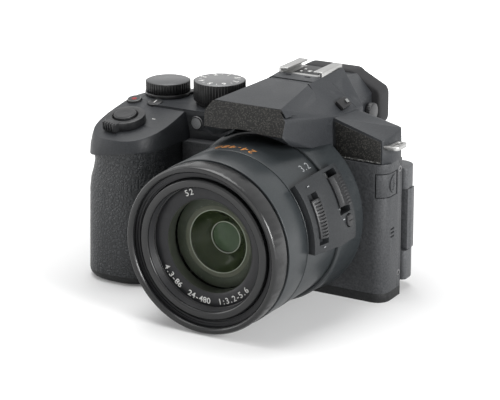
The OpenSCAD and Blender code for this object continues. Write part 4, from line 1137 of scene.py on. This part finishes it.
@dataclass
class Controls:
    """Buttons, dials, levers and the side pod."""

    dial_numerals: str = "12345678"
    dish: Profile = ((4.5, 4.3), (4.4, 4.55), (3.9, 4.6), (2.5, 4.45), (0.0, 4.36))
    lever_gap_shade: Profile = ((5.4, 3.5), (5.4, 3.66), (5.75, 3.66), (5.75, 3.5), (5.4, 3.5))
    cap_inset: float = 0.55
    button_top: float = 1.5
    mode_mark_r: float = 7.9
    mode_tick_r: float = 8.6
    mode_tick: Point = (0.3, 1.2, 0.05)
    deck_mark: Point = (1.6, 0.45, 0.06)
    deck_mark_at: Point = (9.9, 6.6, 0.02)
    pad_mark: Point = (1.4, 0.4, 0.06)
    pad_mark_r: float = 7.6
    button_line: Point = (2.6, 0.4, 0.08)
    pod_button_out: Point = (1.0, 0.0, 0.14)
    pod_button_top: float = 1.3
    pod_tick: Point = (0.05, 0.4, 1.6)
    pod_ticks: Sequence[Point] = ((36.5, 40.2, 46.3), (-0.6, 40.2, 46.3), (10.0, 42.0, 32.1))

    def dress(self) -> None:
        """Finish every control."""
        plain = ("zoom_lever", "function_button", "pod_button", "cursor_pad", "set_button", "play_button",
                 "door_latch", "dioptre_wheel", "shutter_button")
        dress_all(
            ("control_pod", Look.pod, 0.5, 3), *((node, Look.button, 0.3) for node in plain),
            ("pod_lever", Look.button, 0.12), ("focus_switch", Look.button, 0.12),
            ("record_button", Look.record, 0.3), ("flash_slider", Look.dark_button, 0.5, 3),
            ("control_dial", Look.knurl, 0.12), ("power_lever", Look.lever_metal, 0.3),
            ("mode_dial", Look.knurl, 0.12))
        self._dial_caps()
        self._mode_marks()
        self._button_marks()
        self._pod_marks()
        self._rear_marks()

    def _dial_caps(self) -> None:
        """Add the turned caps of both dials, the shutter button's dished top and a near-black ring round it
        as painted shade in the gap.
        """
        for node, finish in (("control_dial", Look.dial_cap), ("mode_dial", Look.mode_cap)):
            low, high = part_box(node)
            place = joint_frame(f"{node}_turn")
            r = (high.x - low.x) / 2 / MM - self.cap_inset
            top = (high.z - place.translation.z) / MM
            profile = [(r, top - 0.5), (r, top + 0.05), (r - 0.5, top + 0.3), (0.0, top + 0.35)]
            keep(spun(f"{node}_cap", profile, 80), node, finish, place)
        deck = joint_frame("zoom_lever_turn")
        keep(spun("shutter_dish", self.dish, 64), "shutter_button", Look.button, deck)
        # Near-black ring between button and lever: painted shade in the gap.
        keep(spun("lever_gap_shade", self.lever_gap_shade, 64), "zoom_lever", Look.baffle_and_shade, deck)

    def _mode_marks(self) -> None:
        """Print plain numerals and ticks round the mode dial."""
        place = joint_frame("mode_dial_turn")
        top = (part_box("mode_dial")[1].z - place.translation.z) / MM + 0.37
        marks = []
        count = len(self.dial_numerals)
        for i, char in enumerate(self.dial_numerals):
            turn = turned_by(360 / count * i)
            mark = numerals("mode_marks", char, 2.7, weight=0.03)
            marks.append(put(mark, turn @ moved(0, self.mode_mark_r, top)))
            tick = block("mode_tick", self.mode_tick, 0.02)
            marks.append(put(tick, turn @ turned_by(180 / count) @ moved(0, self.mode_tick_r, top)))
        keep(joined("mode_marks", marks), "mode_dial", Look.print_white, place)

    def _on_button(self, node: str) -> Matrix:
        """Return the frame on top of a small button on the sloped deck."""
        normal = joint_frame("zoom_lever_turn").to_3x3() @ UP
        return along(normal, centre(node) + self.button_top * MM * normal, BACK)

    def _button_marks(self) -> None:
        """Print the marks of the small buttons on the deck."""
        record = self._on_button("record_button")
        dot = spun("record_dot", [(1.15, 0.0), (1.1, 0.06), (0.0, 0.12)], 40)
        keep(dot, "record_button", Look.red, record)
        rim = spun("record_rim", [(2.75, 0.0), (2.8, 0.1), (3.0, 0.1), (3.05, 0.0)], 48)
        keep(rim, "record_button", Look.rim, record)
        mark = numerals("function_mark", "1", 2.6)
        keep(mark, "function_button", Look.print_white, self._on_button("function_button") @ moved(z=0.02))
        index = block("deck_mark", self.deck_mark, 0.02)
        keep(index, BODY, Look.print_white, joint_frame("zoom_lever_turn") @ moved(*self.deck_mark_at))

    def _pod_marks(self) -> None:
        """Print the ticks of the pod and the line on its button."""
        ticks = []
        for angle, radius, forward in self.pod_ticks:
            tick = block("pod_ticks", self.pod_tick, 0.02)
            ticks.append(put(tick, turned_by(angle) @ moved(radius + 0.03, 0, forward)))
        keep(joined("pod_ticks", ticks), BODY, Look.print_grey, lens_frame())
        line = block("pod_button_line", self.button_line, 0.03)
        out = Vector(self.pod_button_out).normalized()
        top = centre("pod_button") + self.pod_button_top * MM * out
        keep(line, "pod_button", Look.baffle_and_shade, along(out, top))

    def _on_back(self, node: str) -> Matrix:
        """Return the frame on the rear face of a node."""
        middle = centre(node)
        return along(BACK, Vector((middle.x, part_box(node)[1].y, middle.z)))

    def _rear_marks(self) -> None:
        """Print the marks of the rear buttons."""
        dot = block("pad_marks", self.pad_mark, 0.02)
        back = self._on_back("cursor_pad")
        places = [back @ turned_by(angle) @ moved(0, self.pad_mark_r, 0) for angle in range(0, 360, 90)]
        keep(copies(dot, places), "cursor_pad", Look.print_white)
        play = fresh("play_mark", bpy.ops.mesh.primitive_cylinder_add, vertices=3, radius=1.2 * MM,
                     depth=0.06 * MM)
        keep(play, "play_button", Look.print_white, self._on_back("play_button") @ turned_by(-90))


@dataclass
class FlashAndFinder:
    """Flash head, hot shoe and viewfinder."""

    contacts: Sequence[Point] = ((0.0, 8.5, 1.1), (-3.4, 11.0, 0.7), (3.4, 11.0, 0.7), (-3.4, 7.0, 0.7))
    shoe_floor: float = 0.9
    insert: Point = (11.6, 13.0, 0.3)
    insert_y: float = 10.9
    slot: Point = (2.6, 0.7, 0.3)
    slot_x: Sequence[float] = (-4.6, 4.6)
    slot_y: float = -2.2
    pane: Point = (1.7, 1.6, 0.3)
    pane_at: Point = (0.0, 1.4, 1.45)
    slider_side: Point = (0.72, 0.0, -0.61)
    roof: float = 90.05
    ribs: int = 24

    def dress(self) -> None:
        """Finish the flash, the shoe and the finder."""
        dress_all(
            ("flash_lid", Look.top, 0.3, 2, 24.0), ("flash_window", Look.clear, 0.3),
            ("hinge_pins", Look.metal, 0.1), ("hot_shoe", Look.metal, 0.15),
            ("shoe_spring", Look.metal, 0.05), ("eyecup", Look.eyecup, 1.6, 4),
            ("eyepiece_lens", Look.finder_glass, 0.1), ("viewfinder_panel", Look.screen, 0.1))
        self._shoe()
        self._window_ribs()
        self._slider()

    def _shoe(self) -> None:
        """Add the dark insert with its contacts, and near-black bars in front of the shoe as painted shade in
        its slots.
        """
        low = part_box("hot_shoe")[0]
        front, floor = low.y / MM, low.z / MM + self.shoe_floor
        insert = block("shoe_insert", self.insert, 0.1)
        keep(insert, BODY, Look.dark_button, moved(0, front + self.insert_y, floor + 0.1))
        pads = []
        for x, y, r in self.contacts:
            pad = spun("shoe_contacts", [(r, 0.0), (r, 0.15), (r - 0.2, 0.25), (0.0, 0.25)], 32)
            pads.append(put(pad, moved(x, front + y, floor + 0.25)))
        keep(joined("shoe_contacts", pads), BODY, Look.metal)
        # Near-black slot bars: painted shade inside the slots.
        slot = block("roof_slots", self.slot, 0.1)
        slots = copies(slot, [moved(x, front + self.slot_y, self.roof) for x in self.slot_x])
        keep(slots, BODY, Look.baffle_and_shade)

    def _window_ribs(self) -> None:
        """Add the fine upright ribs of the flash window."""
        low, high = (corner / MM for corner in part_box("flash_window"))
        rib = block("window_ribs", (0.5, 0.5, high.z - low.z - 0.9), 0.12)
        step = (high.x - low.x - 1.6) / self.ribs
        middle = (low.z + high.z) / 2
        rows = [moved(low.x + 0.8 + step * (i + 0.5), low.y + 0.1, middle) for i in range(self.ribs)]
        keep(copies(rib, rows), "flash_head", Look.clear)

    def _slider(self) -> None:
        """Add the light window of the flash slider."""
        run = Vector(joint("flash_open_slide")["axis"]).normalized()
        normal = Vector(self.slider_side).cross(run).normalized()
        place = along(normal if normal.z > 0 else -normal, centre("flash_slider"), run)
        pane = block("slider_window", self.pane, 0.1)
        keep(pane, "flash_slider", Look.rim, place @ moved(*self.pane_at))


@dataclass
class MonitorAndBay:
    """Swing-out monitor, battery and card."""

    contact: Point = (2.2, 4.0, 0.1)
    contact_y: float = -6.0
    contact_x: Sequence[float] = (-4.2, 0.0, 4.2)

    def dress(self) -> None:
        """Finish the monitor and the battery bay."""
        # The monitor frame and hinge take the lighter plastic, whose extra brightness is painted reflection.
        dress_all(
            ("lcd_frame", Look.monitor, 0.4), ("lcd_screen", Look.screen, 0.15),
            ("lcd_hinge", Look.monitor, 0.3), ("battery", Look.battery, 0.3), ("battery_door", Look.base),
            ("memory_card", Look.card, 0.15))
        self._contacts()

    def _contacts(self) -> None:
        """Add the contacts at the foot of the battery."""
        low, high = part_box("battery")
        strip = block("battery_contacts", self.contact, 0.03)
        foot = Matrix.Translation(((low.x + high.x) / 2, high.y + self.contact_y * MM, low.z))
        keep(copies(strip, [foot @ moved(x) for x in self.contact_x]), BODY, Look.gold)


def main() -> None:
    """Build the camera's looks in order."""
    logging.basicConfig(level=logging.INFO)
    Studio().build()
    for unit in (BodyShell(), LensUnit(), Controls(), FlashAndFinder(), MonitorAndBay()):
        unit.dress()


if __name__ == "__main__":
    main()
